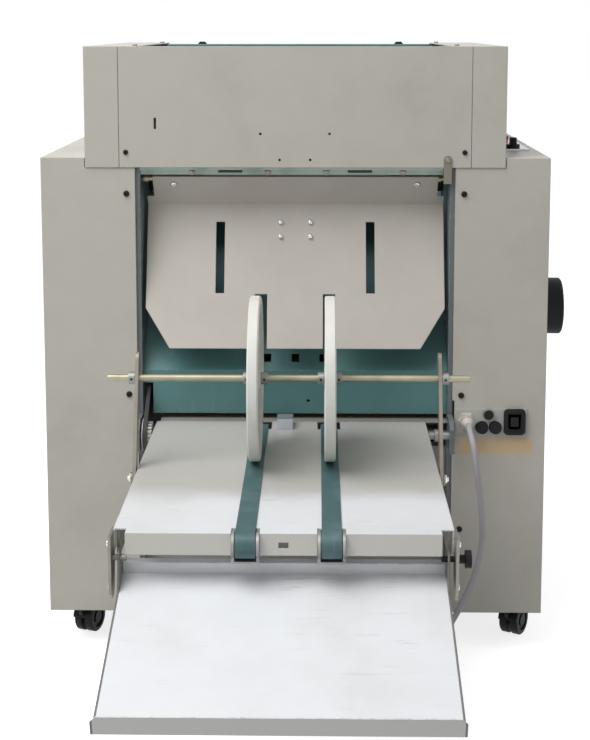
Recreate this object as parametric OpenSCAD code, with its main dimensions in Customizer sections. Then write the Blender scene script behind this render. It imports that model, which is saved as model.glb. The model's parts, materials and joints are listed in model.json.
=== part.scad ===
// Booklet maker: a floor-standing machine that staples sets of sheets,
// folds them and delivers the booklets on a short belt conveyor.
// Millimetres, +Z up, viewer's side at -Y, origin on the floor under the box centre.

/* [Body] */
// Width across the two side covers
body_w = 636; // [600:1:700]
// Depth of the side covers
body_d = 434; // [420:1:480]
// Width of one side cover
cover_w = 118; // [110:1:124]
// Height of one side cover
cover_h = 590; // [580:1:620]
// Depth of the step in a cover's top that seats the head
cover_step = 12; // [6:0.5:20]
// Height of the covers' lower edge above the floor
floor_gap = 53; // [50:1:60]
// Thickness of the cover sheet
sheet_t = 1.5; // [1:0.1:2.5]
// Depth of the folded flange inside a cover's front and rear edge
cover_flange = 14; // [8:1:20]
// Thickness of a side frame plate
frame_t = 6; // [4:0.5:8]
// Height of the base frame's rails
base_h = 32; // [25:1:40]
// Width of the base frame's rails
base_rail_w = 60; // [50:1:70]
// Diameter of the tie bars between the side frames
tie_d = 16; // [10:1:20]
// Gap left between neighbouring panels
panel_gap = 1; // [0.5:0.1:2]

/* [Head] */
// Width of the head
head_w = 524; // [500:1:540]
// Height of the head
head_h = 150; // [130:1:180]
// Width of an end cap at the front of the head
cap_w = 42.5; // [36:0.5:50]
// Width of an end cap's top panel
cap_top_w = 64; // [60:0.5:66]
// Depth of the folded edges of the front panel
head_lip = 18; // [10:1:30]
// Spacing of the upper pair of accessory holes
acc_hole_x = 86; // [60:1:120]
// Height of the upper accessory holes above the panel's lower edge
acc_hole_up = 42; // [30:1:60]
// Spacing of the lower pair of accessory holes
acc_low_x = 38; // [24:1:60]
// Height of the lower accessory holes above the panel's lower edge
acc_low_up = 9.6; // [8:0.2:14]
// Diameter of the accessory holes
acc_hole_d = 3; // [2:0.1:5]

/* [Guard plate] */
// Height of the hinge bar below the head
guard_hinge_drop = 16; // [14:0.5:20]
// Distance of the hinge bar behind the front plane
guard_hinge_y = 24; // [22:0.5:32]
// Diameter of the hinge bar
guard_bar_d = 6.5; // [5:0.1:8]
// Gap between the guard plate and each side frame
guard_gap = 5; // [4:0.5:10]
// How far the fold lies behind the hinge bar
guard_fold_y = 24; // [16:0.5:30]
// How far the fold lies below the hinge bar
guard_fold_drop = 35; // [28:0.5:45]
// How far the lower edge stands in front of the hinge bar
guard_toe = 35; // [25:0.5:40]
// How far the lower edge hangs below the hinge bar
guard_drop = 212; // [200:1:218]
// Distance of each sight slot from the centre line
guard_slot_x = 95.5; // [80:0.5:110]
// Width of the sight slots
guard_slot_w = 11; // [6:0.5:14]
// Length of the sight slots
guard_slot_h = 87.5; // [60:0.5:95]
// Height of the sight slots above the lower edge
guard_slot_up = 67; // [50:0.5:75]
// Width of the notches that let the press wheels pass
guard_notch_w = 15.3; // [14.5:0.1:20]
// Height of the notches
guard_notch_h = 66; // [55:0.5:80]
// Width of the corner chamfers
guard_chamfer_w = 31.5; // [20:0.5:40]
// Height of the corner chamfers
guard_chamfer_h = 49; // [30:0.5:60]

/* [Sheet path] */
// Distance of the chute's upright wall behind the front plane
chute_y = 14; // [10:0.5:20]
// Height of the chute's upright wall
chute_wall_h = 56.5; // [48:0.5:64]
// Slope of the pocket above the wall, in degrees
pocket_slope = 49.8; // [48:0.1:52]
// Length of the slope from the wall to the fold slot
slot_run = 240; // [230:1:250]
// Width of the fold slot
slot_w = 8; // [6:0.5:12]
// Length of the slope from the wall to the pocket's top edge
pocket_run = 532; // [500:1:540]
// Height of the gap under the chute where booklets come out
exit_gap = 7; // [6:0.5:12]
// Thickness of the guide sheets
guide_t = 1.5; // [1:0.1:2.5]
// Distance of each stapling head from the centre line
stitch_x = 70; // [50:1:100]
// Width of a stapling head
stitch_w = 38; // [30:1:44]
// Distance of the stapling line above the fold slot
stitch_run = 90; // [80:1:110]
// Thickness of the fold knife
knife_t = 2; // [1:0.1:2.4]
// Travel of the fold knife
knife_travel = 24; // [20:0.5:24]

/* [Drive] */
// Distance of the main shaft behind the front plane
main_y = 150; // [145:1:155]
// Height of the main shaft
main_z = 429; // [424:1:434]
// Diameter of the main shaft
main_d = 15; // [12:0.5:16]
// Radius of the belt pulleys
pulley_r = 16.5; // [14:0.5:18]
// Width of the drive belts
drive_belt_w = 10; // [8:0.5:12]
// Width of the timing belt to the conveyor's toothed pulley
timing_belt_w = 5; // [4:0.5:8]
// Thickness of the drive belts
drive_belt_t = 2; // [1.5:0.1:3]
// Number of teeth on the conveyor pulley
pulley_teeth = 20; // [16:1:24]
// Radius of the fold rollers
fold_r = 19.7; // [17:0.1:20]
// Gap between the fold rollers
fold_nip = 0.6; // [0.4:0.1:1]
// Number of teeth on the fold rollers' gears
gear_teeth = 20; // [16:4:24]
// Diameter of the handwheel
handwheel_d = 76; // [60:1:90]
// How far the handwheel stands out from the side cover
handwheel_reach = 40; // [30:1:50]
// Height of the motor's shaft
motor_z = 190; // [180:1:200]
// Diameter of the motor
motor_d = 110; // [90:1:116]
// Length of the motor
motor_len = 120; // [100:1:140]

/* [Conveyor] */
// Gap between the deck's mean edge and the side frames
deck_gap = 23; // [21:0.5:26]
// Shift of the deck, rod and tray from the machine's centre line
conveyor_shift = -5; // [-6:0.5:0]
// Length of the deck in front of the front plane
deck_len = 421; // [400:1:440]
// Height of the deck's top
deck_top = 306; // [300:1:312]
// Height of the deck's skirt
deck_skirt = 22.5; // [18:0.5:23]
// Width of the notch at each front corner of the deck
deck_corner_w = 13; // [8:0.5:16]
// Length of the notch at each front corner of the deck
deck_corner_l = 14; // [10:0.5:20]
// Distance of each belt from the centre line
belt_x = 43; // [36:0.5:50]
// Width of a conveyor belt
belt_w = 20; // [16:0.5:24]
// Thickness of a conveyor belt
belt_t = 1.5; // [1:0.1:2.5]
// Radius of the belt rollers
roller_r = 11.9; // [11:0.1:12.5]
// Diameter of the conveyor's drive shaft
conveyor_shaft_d = 10; // [8:0.5:12]
// Distance of the drive shaft in front of the front plane
drive_y = 20; // [18:0.5:24]
// Diameter of the front rollers' axles
axle_d = 6; // [4:0.5:8]
// Thickness of the roller brackets' cheeks
cheek_t = 3; // [2:0.1:3.5]
// Thickness of the side rails under the deck
rail_t = 4; // [3:0.5:5]
// Height of the side rails under the deck
rail_h = 24; // [21:0.5:26]
// Width of the sensor cover
sensor_w = 20; // [14:0.5:26]
// Height of the sensor cover above the deck
sensor_h = 12; // [8:0.5:16]

/* [Press wheels] */
// Radius of the press wheels
wheel_r = 95; // [90:0.5:96]
// Width of the press wheels' rims
wheel_t = 12.5; // [10:0.1:13]
// Thickness of the press wheels' webs
wheel_web_t = 5; // [3:0.5:8]
// Radial depth of the press wheels' rims
wheel_rim = 9; // [6:0.5:14]
// Diameter of the press wheels' hubs
wheel_hub_d = 26; // [20:0.5:34]
// Diameter of the rod that carries the wheels
rod_d = 8; // [6:0.5:10]
// Length of the rod past each side of the deck
rod_over = 38; // [30:1:50]
// Distance of the rod in front of the front plane
rod_y = 168; // [160:1:176]
// Distance of the arms' pivot in front of the front plane
arm_pivot_y = 205; // [195:1:215]
// Length of the arms
arm_len = 152; // [140:1:170]
// Width of the arms
arm_w = 16; // [14:0.5:20]
// Thickness of the arms
arm_t = 4; // [3:0.5:5]
// Diameter of the arms' pivots
arm_pin_d = 8; // [6:0.5:9]
// Diameter of the rod's collars
collar_d = 14; // [12:0.5:18]
// Width of the rod's collars
collar_w = 7.5; // [5:0.5:10]

/* [Tray] */
// Distance of the tray's hinge in front of the front plane
tray_hinge_y = 413; // [408:1:418]
// Height of the tray's hinge below the deck's top
tray_hinge_drop = 28; // [27:0.5:32]
// Depth of the tray's plate below its hinge
tray_drop = 25; // [22:0.5:32]
// Slope of the tray, in degrees
tray_slope = 17.4; // [12:0.1:20]
// Length of the tray in front of its hinge
tray_front = 214; // [190:1:230]
// Length of the tray behind its hinge
tray_back = 14; // [12:1:30]
// Height of the tray's front lip
tray_lip = 18; // [14:0.5:22]
// Corner chamfer of the lip
tray_lip_chamfer = 5; // [2:0.5:8]
// How far the tray's edges stand in from the deck's
tray_inset = 5; // [4.5:0.5:7]
// Thickness of the tray's sheet
tray_t = 1.5; // [1:0.1:2.5]
// Diameter of the tray's hinge pins
tray_pin_d = 6; // [5:0.5:8]
// Thickness of the tray's brackets
bracket_t = 3; // [2:0.5:4]
// Diameter of the tray's clamp knob
knob_d = 18; // [14:0.5:24]

/* [Controls and power] */
// Gap between the head's end cap and the control plate
control_gap = 6; // [4:0.5:8]
// Margin between the control plate and the cover's outer edge
control_edge = 11; // [8:0.5:14]
// Length of the control plate
control_len = 285; // [260:1:300]
// Diameter of the selector knob
selector_d = 18; // [14:0.5:22]
// Diameter of the stop button
button_d = 10; // [8:0.5:12]
// Travel of the stop button
button_travel = 3; // [2:0.5:4]
// Width of the power plate
power_w = 91.5; // [88:0.5:96]
// Height of the power plate
power_h = 32; // [31:0.5:36]
// Height of the power plate's middle above the floor
power_z = 307.7; // [300:0.1:320]
// Diameter of the mains cord
cord_d = 7.5; // [7:0.1:7.5]

/* [Casters] */
// Diameter of the caster wheels
caster_d = 40; // [36:1:42]
// Width of one caster wheel
caster_wheel_w = 10; // [8:0.5:12]
// Distance of the caster's axle from its stem
caster_trail = 18; // [14:0.5:20]
// Distance of the caster stems from the covers' outer faces
caster_inset_x = 35; // [32:1:38]
// Distance of the caster stems from the covers' front and rear faces
caster_inset_y = 48; // [44:1:52]
// Turn of the left casters about their stems, in degrees
caster_turn_left = 70; // [0:5:90]
// Turn of the right casters about their stems, in degrees
caster_turn_right = 60; // [0:5:90]
// Diameter of the caster stems
stem_d = 11; // [8:0.5:12]

/* [Hidden] */
$fn = 48;

// Clearances: running fit of a shaft, gap beside moving faces, overshoot of a cut
fit = 0.05;
run_gap = 0.3;
side_gap = 0.4;
cut = 1;

// Colours
beige = [0.70, 0.67, 0.62];
cream = [0.76, 0.73, 0.69];
white = [0.86, 0.87, 0.89];
teal = [0.27, 0.43, 0.42];
slate = [0.40, 0.44, 0.46];
steel = [0.66, 0.66, 0.66];
zinc = [0.78, 0.73, 0.57];
dark = [0.11, 0.12, 0.14];

// Main levels and widths of the body
throat = body_w / 2 - cover_w;
inner = throat - frame_t;
cover_top = floor_gap + cover_h;
head_z = cover_top - cover_step;
head_top = head_z + head_h;
base_top = floor_gap + base_h;
frame_top = head_top - 16;
frame_front = sheet_t * 2;
frame_rear = body_d - sheet_t;
lower_cover_y = 25;
lower_cover_top = deck_top - 38;
lower_flange = 20;

// Cross plate under the head, with its lip in front of the guard's hinge
cross_d = 60;
cross_t = 3;
cross_lip = 9.5;
cross_lip_y = guard_hinge_y - 18;

// Guard plate, from its hinge bar
guard_z = head_z - guard_hinge_drop;
guard_half = inner - guard_gap;
guard_bottom = guard_z - guard_drop;
knuckle_r = guard_bar_d / 2 + 1.75;
knuckle_end = guard_half - 9;
knuckle_w = 60;
flange_off = guard_bar_d / 2 + 1.15;
flange_up = 7.5;

// Sheet path: a point at length a along the pocket's slope and height b above it
wall_top = deck_top + exit_gap + chute_wall_h;
function slope_pt(a, b) = [chute_y + a * cos(pocket_slope) - b * sin(pocket_slope),
                           wall_top + a * sin(pocket_slope) + b * cos(pocket_slope)];
fold_depth = fold_r + guide_t + 5;
fold_pitch = 2 * fold_r + fold_nip;
fold_low = slope_pt(slot_run - fold_pitch / 2, -fold_depth);
fold_up = slope_pt(slot_run + fold_pitch / 2, -fold_depth);
journal_r = 7.5;
knife_bar_w = 10;
knife_bar_b = 62;
knife_bar_h = 30;

// Conveyor
deck_half = inner - deck_gap;
belt_lift = 0.2;
belt_in_r = roller_r + run_gap;
axis_z = deck_top + belt_lift - belt_in_r;
belt_top = deck_top + belt_lift + belt_t;
front_axis_y = -(deck_len - 2);
roller_w = belt_w + 1;
cheek_in = roller_w / 2 + side_gap;
cheek_out = cheek_in + cheek_t;
notch_half = cheek_out + run_gap;
rail_out = deck_half - sheet_t;
rail_in = rail_out - rail_t;
rail_top = deck_top - 6;
rail_front = -(tray_hinge_y - 18);
standoff_y = 18;
standoff_z = rail_top - 13;
standoff_r = 7;
ear_reach = drive_y + 16;
ear_low = axis_z - 19;
ear_high = axis_z + 21;
shaft_r = conveyor_shaft_d / 2;
cheek_tail = 34;

// Belt trains: the main shaft's pulleys and what they drive
main_pt = [main_y, main_z];
drive_pt = [-drive_y, axis_z];
motor_pt = [main_y, motor_z];
belt_edge = 1;
left_belt_x = -inner + 4;
fold_belt_x = throat + 4;
motor_belt_x = fold_belt_x + drive_belt_w + 4;
gear_x = motor_belt_x;
gear_w = drive_belt_w;
drive_end = motor_belt_x + drive_belt_w + 2;

// Press wheels and arms
rod_z = belt_top + run_gap + wheel_r;
arm_z = deck_top - 11;
arm_lean = atan2(arm_pivot_y - rod_y, rod_z - arm_z);
arm_reach = sqrt(pow(arm_pivot_y - rod_y, 2) + pow(rod_z - arm_z, 2));
arm_in = deck_half + 1.5;
arm_out = arm_in + arm_t;

// Tray: a point at length f in front of the hinge and height n above it, across the tray's slope
tray_hinge = [-tray_hinge_y, deck_top - tray_hinge_drop];
function tray_pt(f, n) = [tray_hinge[0] - f * cos(tray_slope) - n * sin(tray_slope),
                          tray_hinge[1] - f * sin(tray_slope) + n * cos(tray_slope)];
tray_half = deck_half - tray_inset;
ear_t = 2;
ear_x = tray_half - side_gap - ear_t;
tray_ear_r = 9;
bracket_drop = 68;
bracket_w = 34;
lip_tip = tray_pt(tray_front, tray_lip - tray_drop);
lip_foot = tray_pt(tray_front, -tray_drop - tray_t);
tray_tip_y = min(lip_tip[0], lip_foot[0]);

// Casters
caster_x = body_w / 2 - caster_inset_x;
caster_rear_y = body_d - caster_inset_y;
caster_gap = 6;
stem_depth = base_h - 8;

// The whole part moves so that the box of the machine is centred over the origin
shift_x = -handwheel_reach / 2;
shift_y = -(tray_tip_y + body_d) / 2;

// Mains cord, in the part's own frame before the shift: round points chosen by hand
gland_x = throat + 18;
gland_z = 309;
gland_len = 30;
cord_route = [
    [218, -30, 309], [218, -38, 309], [218, -52, 306], [220, -64, 297], [222, -70, 284], [224, -72, 268],
    [227, -70, 248], [231, -64, 222], [234, -56, 195], [235, -47, 166], [232, -38, 136], [225, -32, 106],
    [213, -30, 77], [200, -32, 53], [185, -38, 32], [168, -45, 17], [150, -51, 8], [132, -55, 4],
    [114, -57, 4], [96, -58, 4], [80, -58, 4]
];
coil_x = 72.5;
coil_y = -4;
coil_z = 4;
coil_r_out = 54;
coil_turns = 3;
coil_pitch = 8;
coil_steps = 24;

// Blocks, rods and prisms between stated limits
module block(x, y, z) translate([x[0], y[0], z[0]]) cube([x[1] - x[0], y[1] - y[0], z[1] - z[0]]);
module rod_x(x0, x1, p, r) translate([x0, p[0], p[1]]) rotate([0, 90, 0]) cylinder(r = r, h = x1 - x0);
module rod_y(y0, y1, x, z, r) translate([x, y1, z]) rotate([90, 0, 0]) cylinder(r = r, h = y1 - y0);
module prism_x(x0, x1) translate([x0, 0, 0]) rotate([90, 0, 90]) linear_extrude(x1 - x0) children();
module prism_y(y0, y1) translate([0, y1, 0]) rotate([90, 0, 0]) linear_extrude(y1 - y0) children();
module both_sides() for (side = [-1, 1]) scale_x(side) children();
module scale_x(side) { if (side > 0) children(); else mirror([1, 0, 0]) children(); }
module place() translate([shift_x, shift_y, 0]) children();
module on_conveyor() translate([conveyor_shift, 0, 0]) children();

// Outline of a strip of sheet of thickness t along three points, on their left side
function unit(v) = v / norm(v);
function left_of(a, b) = let (d = unit(b - a)) [-d[1], d[0]];
function corner(a, b, c, t) = let (m = left_of(a, b), k = left_of(b, c), s = unit(m + k))
    b + s * t / (s * m);
function strip3(a, b, c, t) = [a, b, c, c + left_of(b, c) * t, corner(a, b, c, t), a + left_of(a, b) * t];

// A band between two round ends of equal radius
module stadium(a, b, r) {
    side = left_of(a, b) * r;
    translate(a) circle(r);
    translate(b) circle(r);
    polygon([a + side, a - side, b - side, b + side]);
}
module belt_loop(a, b, r, t) difference() { stadium(a, b, r + t); stadium(a, b, r); }

// A body of revolution about the X axis from pairs of (end, radius), starting at x0
module turned_x(p, x0, steps) {
    starts = [for (i = [0 : len(steps) - 1]) i == 0 ? x0 : steps[i - 1][0]];
    points = concat([[0, x0]], [for (i = [0 : len(steps) - 1]) each [[steps[i][1], starts[i]],
             [steps[i][1], steps[i][0]]]], [[0, steps[len(steps) - 1][0]]]);
    translate([0, p[0], p[1]]) rotate([0, 90, 0]) rotate_extrude() polygon(points);
}

// Base and frames
module base_frame() color(dark) place() {
    out = body_w / 2 - sheet_t - panel_gap;
    y0 = lower_cover_y + sheet_t;
    y1 = body_d - sheet_t - panel_gap;
    z = [floor_gap, base_top];
    cross_w = 40;
    flange_y = body_d - sheet_t - cover_flange;
    difference() {
        union() {
            both_sides() {
                block([out - base_rail_w, out], [sheet_t + panel_gap, y1], z);
                block([throat - 24, throat], [y0, y1], z);
            }
            block([-out, out], [y0, y0 + cross_w], z);
            block([-out, out], [y1 - cross_w, y1], z);
        }
        both_sides() for (y = [caster_inset_y, caster_rear_y])
            translate([caster_x, y, floor_gap - cut]) cylinder(d = stem_d + 2 * fit, h = stem_depth + cut);
        both_sides() block([throat, throat + sheet_t + panel_gap], [flange_y - panel_gap, y1 + cut],
                           [floor_gap - cut, base_top + cut]);
    }
}

module side_frame(motor_hole) difference() {
    prism_x(inner, throat) difference() {
        polygon([[frame_front, base_top], [frame_front, ear_low], [-ear_reach, ear_low],
            [-ear_reach, ear_high - 10],
                 [-ear_reach + 10, ear_high], [frame_front, ear_high], [frame_front, frame_top - 40],
                 [frame_front + 40, frame_top], [frame_rear - 30, frame_top], [frame_rear, frame_top - 30],
                 [frame_rear, base_top]]);
        polygon([slope_pt(slot_run - knife_bar_w / 2 - run_gap, knife_bar_b - knife_travel - run_gap),
                 slope_pt(slot_run + knife_bar_w / 2 + run_gap, knife_bar_b - knife_travel - run_gap),
                 slope_pt(slot_run + knife_bar_w / 2 + run_gap, knife_bar_b + knife_bar_h + run_gap),
                 slope_pt(slot_run - knife_bar_w / 2 - run_gap, knife_bar_b + knife_bar_h + run_gap)]);
    }
    rod_x(inner - cut, throat + cut, main_pt, main_d / 2 + fit);
    rod_x(inner - cut, throat + cut, fold_low, journal_r + fit);
    rod_x(inner - cut, throat + cut, fold_up, journal_r + fit);
    rod_x(inner - cut, throat + cut, drive_pt, shaft_r + fit);
    if (motor_hole) rod_x(inner - cut, throat + cut, motor_pt, journal_r + 2);
}
module left_side_frame() color(slate) place() mirror([1, 0, 0]) side_frame(false);
module right_side_frame() color(slate) place() side_frame(true);

module tie_bars() color(steel) place()
    for (p = [[body_d - 40, base_top + 60], [body_d - 40, guard_z - 60], [70, base_top + 40]])
        rod_x(-inner, inner, p, tie_d / 2);

// Covers
cover_window = 22;
module side_cover() {
    seat = head_w / 2 + panel_gap;
    out = body_w / 2;
    slit_z = deck_top + 6;
    difference() {
        prism_y(0, body_d) polygon([[throat, floor_gap], [out, floor_gap], [out, cover_top],
            [seat, cover_top],
                                    [seat, head_z], [throat, head_z]]);
        prism_y(sheet_t, body_d - sheet_t)
            polygon([[throat - cut, floor_gap - cut], [out - sheet_t, floor_gap - cut],
                     [out - sheet_t, cover_top - sheet_t], [seat + sheet_t, cover_top - sheet_t],
                     [seat + sheet_t, head_z - sheet_t], [throat - cut, head_z - sheet_t]]);
        block([throat - cut, throat + sheet_t + cut], [-cut, sheet_t + cut],
            [slit_z - cover_window, slit_z + cover_window]);
    }
    for (y = [sheet_t, body_d - sheet_t - cover_flange])
        difference() {
            block([throat, throat + sheet_t], [y, y + cover_flange], [floor_gap, head_z - sheet_t]);
            block([throat - cut, throat + sheet_t + cut], [-cut, sheet_t + cover_flange / 2],
                  [slit_z - cover_window, slit_z + cover_window]);
        }
}
module left_side_cover() color(beige) place() mirror([1, 0, 0]) side_cover();
module right_side_cover() color(beige) place() difference() {
    side_cover();
    rod_x(body_w / 2 - sheet_t - cut, body_w / 2 + cut, main_pt, main_d / 2 + 3);
    block([outlet_x - 10, outlet_x + 10], [-cut, sheet_t + cut], [power_z - 12, power_z + 12]);
    rod_y(-cut, sheet_t + cut, gland_x, gland_z, gland_bore_r + 1);
    for (p = [selector_pt, button_pt])
        translate([p[0], p[1], cover_top - sheet_t - cut])
            cylinder(r = control_hole_r, h = sheet_t + 2 * cut);
}

module rear_cover() color(beige) place() {
    half = throat - panel_gap / 2;
    block([-half, half], [body_d - sheet_t, body_d], [floor_gap, head_z - panel_gap]);
    block([-inner, inner], [body_d - sheet_t - cover_flange, body_d - sheet_t],
        [head_z - panel_gap - sheet_t, head_z - panel_gap]);
}

module lower_front_cover() color(beige) place() {
    z0 = floor_gap + 7;
    block([-inner, inner], [lower_cover_y, lower_cover_y + sheet_t], [z0, lower_cover_top]);
    block([-inner, inner], [lower_cover_y + sheet_t, lower_cover_y + lower_flange],
        [lower_cover_top - sheet_t, lower_cover_top]);
    both_sides() block([inner - sheet_t, inner], [lower_cover_y + sheet_t, lower_cover_y + lower_flange],
                       [base_top, lower_cover_top - sheet_t]);
}

// Head
module head_front_panel() color(beige) place() {
    half = head_w / 2 - cap_w - panel_gap / 2;
    slit = 14;
    difference() {
        block([-half, half], [-sheet_t, 0], [head_z, head_top]);
        for (side = [-1, 1]) {
            rod_y(-sheet_t - cut, cut, side * acc_hole_x / 2, head_z + acc_hole_up, acc_hole_d / 2);
            rod_y(-sheet_t - cut, cut, side * acc_low_x / 2, head_z + acc_low_up, acc_hole_d / 2);
        }
        block([-half + 43.5, -half + 46.5], [-sheet_t - cut, cut], [head_z + 48, head_z + 48 + slit]);
    }
    block([-half, half], [0, head_lip], [head_top - sheet_t, head_top]);
    block([-inner, inner], [0, head_lip], [head_z, head_z + sheet_t]);
}

module head_caps() color(beige) place() both_sides() {
    out = head_w / 2;
    front_in = out - cap_w;
    top_in = out - cap_top_w;
    difference() {
        block([front_in, out], [-sheet_t, body_d], [head_z, head_top]);
        block([front_in - cut, out - sheet_t], [0, body_d - sheet_t], [head_z - cut, head_top - sheet_t]);
    }
    block([top_in, front_in], [head_lip + panel_gap, body_d], [head_top - sheet_t, head_top]);
    block([top_in, front_in], [body_d - sheet_t, body_d], [head_z, head_top - sheet_t]);
}

module head_cross_plate() color(teal) place() {
    block([-inner, inner], [0, cross_d], [head_z - cross_t, head_z]);
    block([-inner, inner], [cross_lip_y, cross_lip_y + cross_t], [head_z - cross_lip, head_z - cross_t]);
}

// Sheet path
module pocket_plate() color(teal) place() {
    top = slope_pt(pocket_run, 0);
    difference() {
        prism_x(-inner, inner) polygon(strip3(slope_pt(slot_run + slot_w / 2, -guide_t),
            slope_pt(pocket_run, -guide_t),
                                              top + [18, -12], guide_t));
        for (side = [-1, 1]) block([side * stitch_x - 6, side * stitch_x + 6], [0, body_d],
            [slope_pt(slot_run + stitch_run, 0)[1] - 4, slope_pt(slot_run + stitch_run, 0)[1] + 4]);
    }
}

chute_window_w = 10;
chute_window_h = 9;
belt_notch_h = 40;
module chute_plate() color(teal) place() difference() {
    prism_x(-inner, inner) polygon(strip3(slope_pt(slot_run - slot_w / 2, 0), [chute_y, wall_top],
                                          [chute_y, deck_top + exit_gap], guide_t));
    for (x = [-36, 0, 36]) block([x - chute_window_w / 2, x + chute_window_w / 2], [0, 60],
                                 [wall_top + 9, wall_top + 9 + chute_window_h]);
    rod_y(0, 60, 17, wall_top - 40, 2);
    block([-inner - cut, left_belt_x + timing_belt_w + 3], [0, 60],
        [deck_top, deck_top + exit_gap + belt_notch_h]);
}

module exit_guide() color(teal) place() {
    top = fold_low + [30, -8];
    foot = [chute_y + 26, deck_top];
    left = -inner + deck_gap - 1;
    outline = strip3([2, deck_top - 2], foot, top, guide_t);
    prism_x(left, inner) polygon(outline);
    intersection() {
        prism_x(-inner, left) polygon(outline);
        block([-inner, left], [top[0] - 16, body_d], [0, head_top]);
    }
}

// Stapling heads, on a square bar across the machine
stitch_bar = 20;
stitch_back = 22;
stitch_bar_rise = 60;
module stitch_heads() color(dark) place() {
    run = slot_run + stitch_run;
    back = stitch_back;
    rise = stitch_bar_rise;
    bar = stitch_bar;
    prism_x(-inner, inner) polygon([slope_pt(run + back, rise), slope_pt(run + back + bar, rise),
                                    slope_pt(run + back + bar, rise + bar),
                                    slope_pt(run + back, rise + bar)]);
    for (side = [-1, 1]) {
        prism_x(side * stitch_x - stitch_w / 2, side * stitch_x + stitch_w / 2)
            polygon([slope_pt(run - 8, 14), slope_pt(run + 8, 14), slope_pt(run + back, 34),
                slope_pt(run + back, 95),
                     slope_pt(run - 18, 95), slope_pt(run - 22, 40)]);
        prism_x(side * stitch_x - 15, side * stitch_x + 15)
            polygon([slope_pt(run - 15, -guide_t), slope_pt(run - 15, -guide_t - 16),
                     slope_pt(run + 15, -guide_t - 16), slope_pt(run + 15, -guide_t)]);
    }
}

module fold_knife() color(steel) place() {
    edge = 6;
    blade_half = inner - 34;
    prism_x(-throat, throat)
        polygon([slope_pt(slot_run - knife_bar_w / 2, knife_bar_b),
            slope_pt(slot_run + knife_bar_w / 2, knife_bar_b),
                 slope_pt(slot_run + knife_bar_w / 2, knife_bar_b + knife_bar_h),
                 slope_pt(slot_run - knife_bar_w / 2, knife_bar_b + knife_bar_h)]);
    prism_x(-blade_half, blade_half)
        polygon([slope_pt(slot_run, edge), slope_pt(slot_run + knife_t / 2, edge + 4),
                 slope_pt(slot_run + knife_t / 2, knife_bar_b),
                 slope_pt(slot_run - knife_t / 2, knife_bar_b),
                 slope_pt(slot_run - knife_t / 2, edge + 4)]);
}

gear_root = 1.25;
gear_tip = 0.8;
module gear_2d(turn) {
    m = fold_pitch / gear_teeth;
    r0 = fold_pitch / 2 - gear_root * m;
    r1 = fold_pitch / 2 + gear_tip * m;
    step = 360 / gear_teeth;
    polygon([for (i = [0 : gear_teeth - 1], k = [[r0, -0.3], [r1, -0.12], [r1, 0.12], [r0, 0.3]])
             k[0] * [cos(turn + (i + k[1]) * step), sin(turn + (i + k[1]) * step)]]);
}
module fold_roller(p, turn, pulley) {
    face = inner - 12;
    turned_x(p, -throat, [[-face, journal_r], [face, fold_r],
        [pulley ? fold_belt_x - belt_edge : drive_end, journal_r],
                          each pulley ? [[fold_belt_x + drive_belt_w + belt_edge, pulley_r],
                          [drive_end, journal_r]] : []]);
    prism_x(gear_x, gear_x + gear_w) translate(p) difference() { gear_2d(turn); circle(journal_r - 1); }
}
module fold_roller_lower() color(dark) place() fold_roller(fold_low, pocket_slope, true);
module fold_roller_upper() color(dark) place()
    fold_roller(fold_up, pocket_slope + 180 + 180 / gear_teeth, false);

// Drive
module main_shaft() color(steel) place()
    turned_x(main_pt, -throat, [[left_belt_x - belt_edge, main_d / 2],
        [left_belt_x + timing_belt_w + belt_edge, pulley_r],
        [fold_belt_x - belt_edge, main_d / 2], [fold_belt_x + drive_belt_w + belt_edge, pulley_r],
        [motor_belt_x - belt_edge, main_d / 2], [motor_belt_x + drive_belt_w + belt_edge, pulley_r],
        [body_w / 2 + handwheel_reach - 8, main_d / 2]]);

module handwheel() color(dark) place() {
    x0 = body_w / 2 + 2;
    bore = main_d / 2 + fit;
    x1 = body_w / 2 + handwheel_reach;
    edge = 2;
    translate([0, main_y, main_z]) rotate([0, 90, 0]) rotate_extrude()
        polygon([[bore, x0], [handwheel_d / 2 - edge, x0], [handwheel_d / 2, x0 + edge],
            [handwheel_d / 2, x1 - edge],
                 [handwheel_d / 2 - edge, x1], [handwheel_d / 2 - 8, x1], [handwheel_d / 2 - 8, x1 - 6],
                 [main_d / 2 + 7, x1 - 6], [main_d / 2 + 7, x1 - 2], [bore, x1 - 2]]);
}

module drive_belts() color(dark) place() {
    r = pulley_r + run_gap;
    prism_x(left_belt_x, left_belt_x + timing_belt_w) belt_loop(drive_pt, main_pt, r, drive_belt_t);
    prism_x(fold_belt_x, fold_belt_x + drive_belt_w) belt_loop(main_pt, fold_low, r, drive_belt_t);
    prism_x(motor_belt_x, motor_belt_x + drive_belt_w) belt_loop(motor_pt, main_pt, r, drive_belt_t);
}

motor_shaft_r = 6;
motor_flange_t = 8;
motor_bore = 40;
module drive_motor() color(dark) place() difference() {
    union() {
        turned_x(motor_pt, inner - motor_flange_t - motor_len, [[inner - motor_flange_t - motor_len + 12, motor_d / 2 - 8],
                                                                [inner - motor_flange_t, motor_d / 2]]);
        block([inner - motor_flange_t, inner], [main_y - motor_d / 2, main_y + motor_d / 2],
              [motor_z - motor_d / 2, motor_z + motor_d / 2]);
    }
    rod_x(inner - motor_bore, inner + cut, motor_pt, motor_shaft_r + fit);
}
module motor_pulley() color(steel) place()
    turned_x(motor_pt, inner - motor_bore + 1, [[motor_belt_x - belt_edge, motor_shaft_r],
                                                [motor_belt_x + drive_belt_w + belt_edge, pulley_r]]);

// Guard plate
module guard_bar() color(zinc) place() rod_x(-inner, inner, [guard_hinge_y, guard_z], guard_bar_d / 2);

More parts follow.
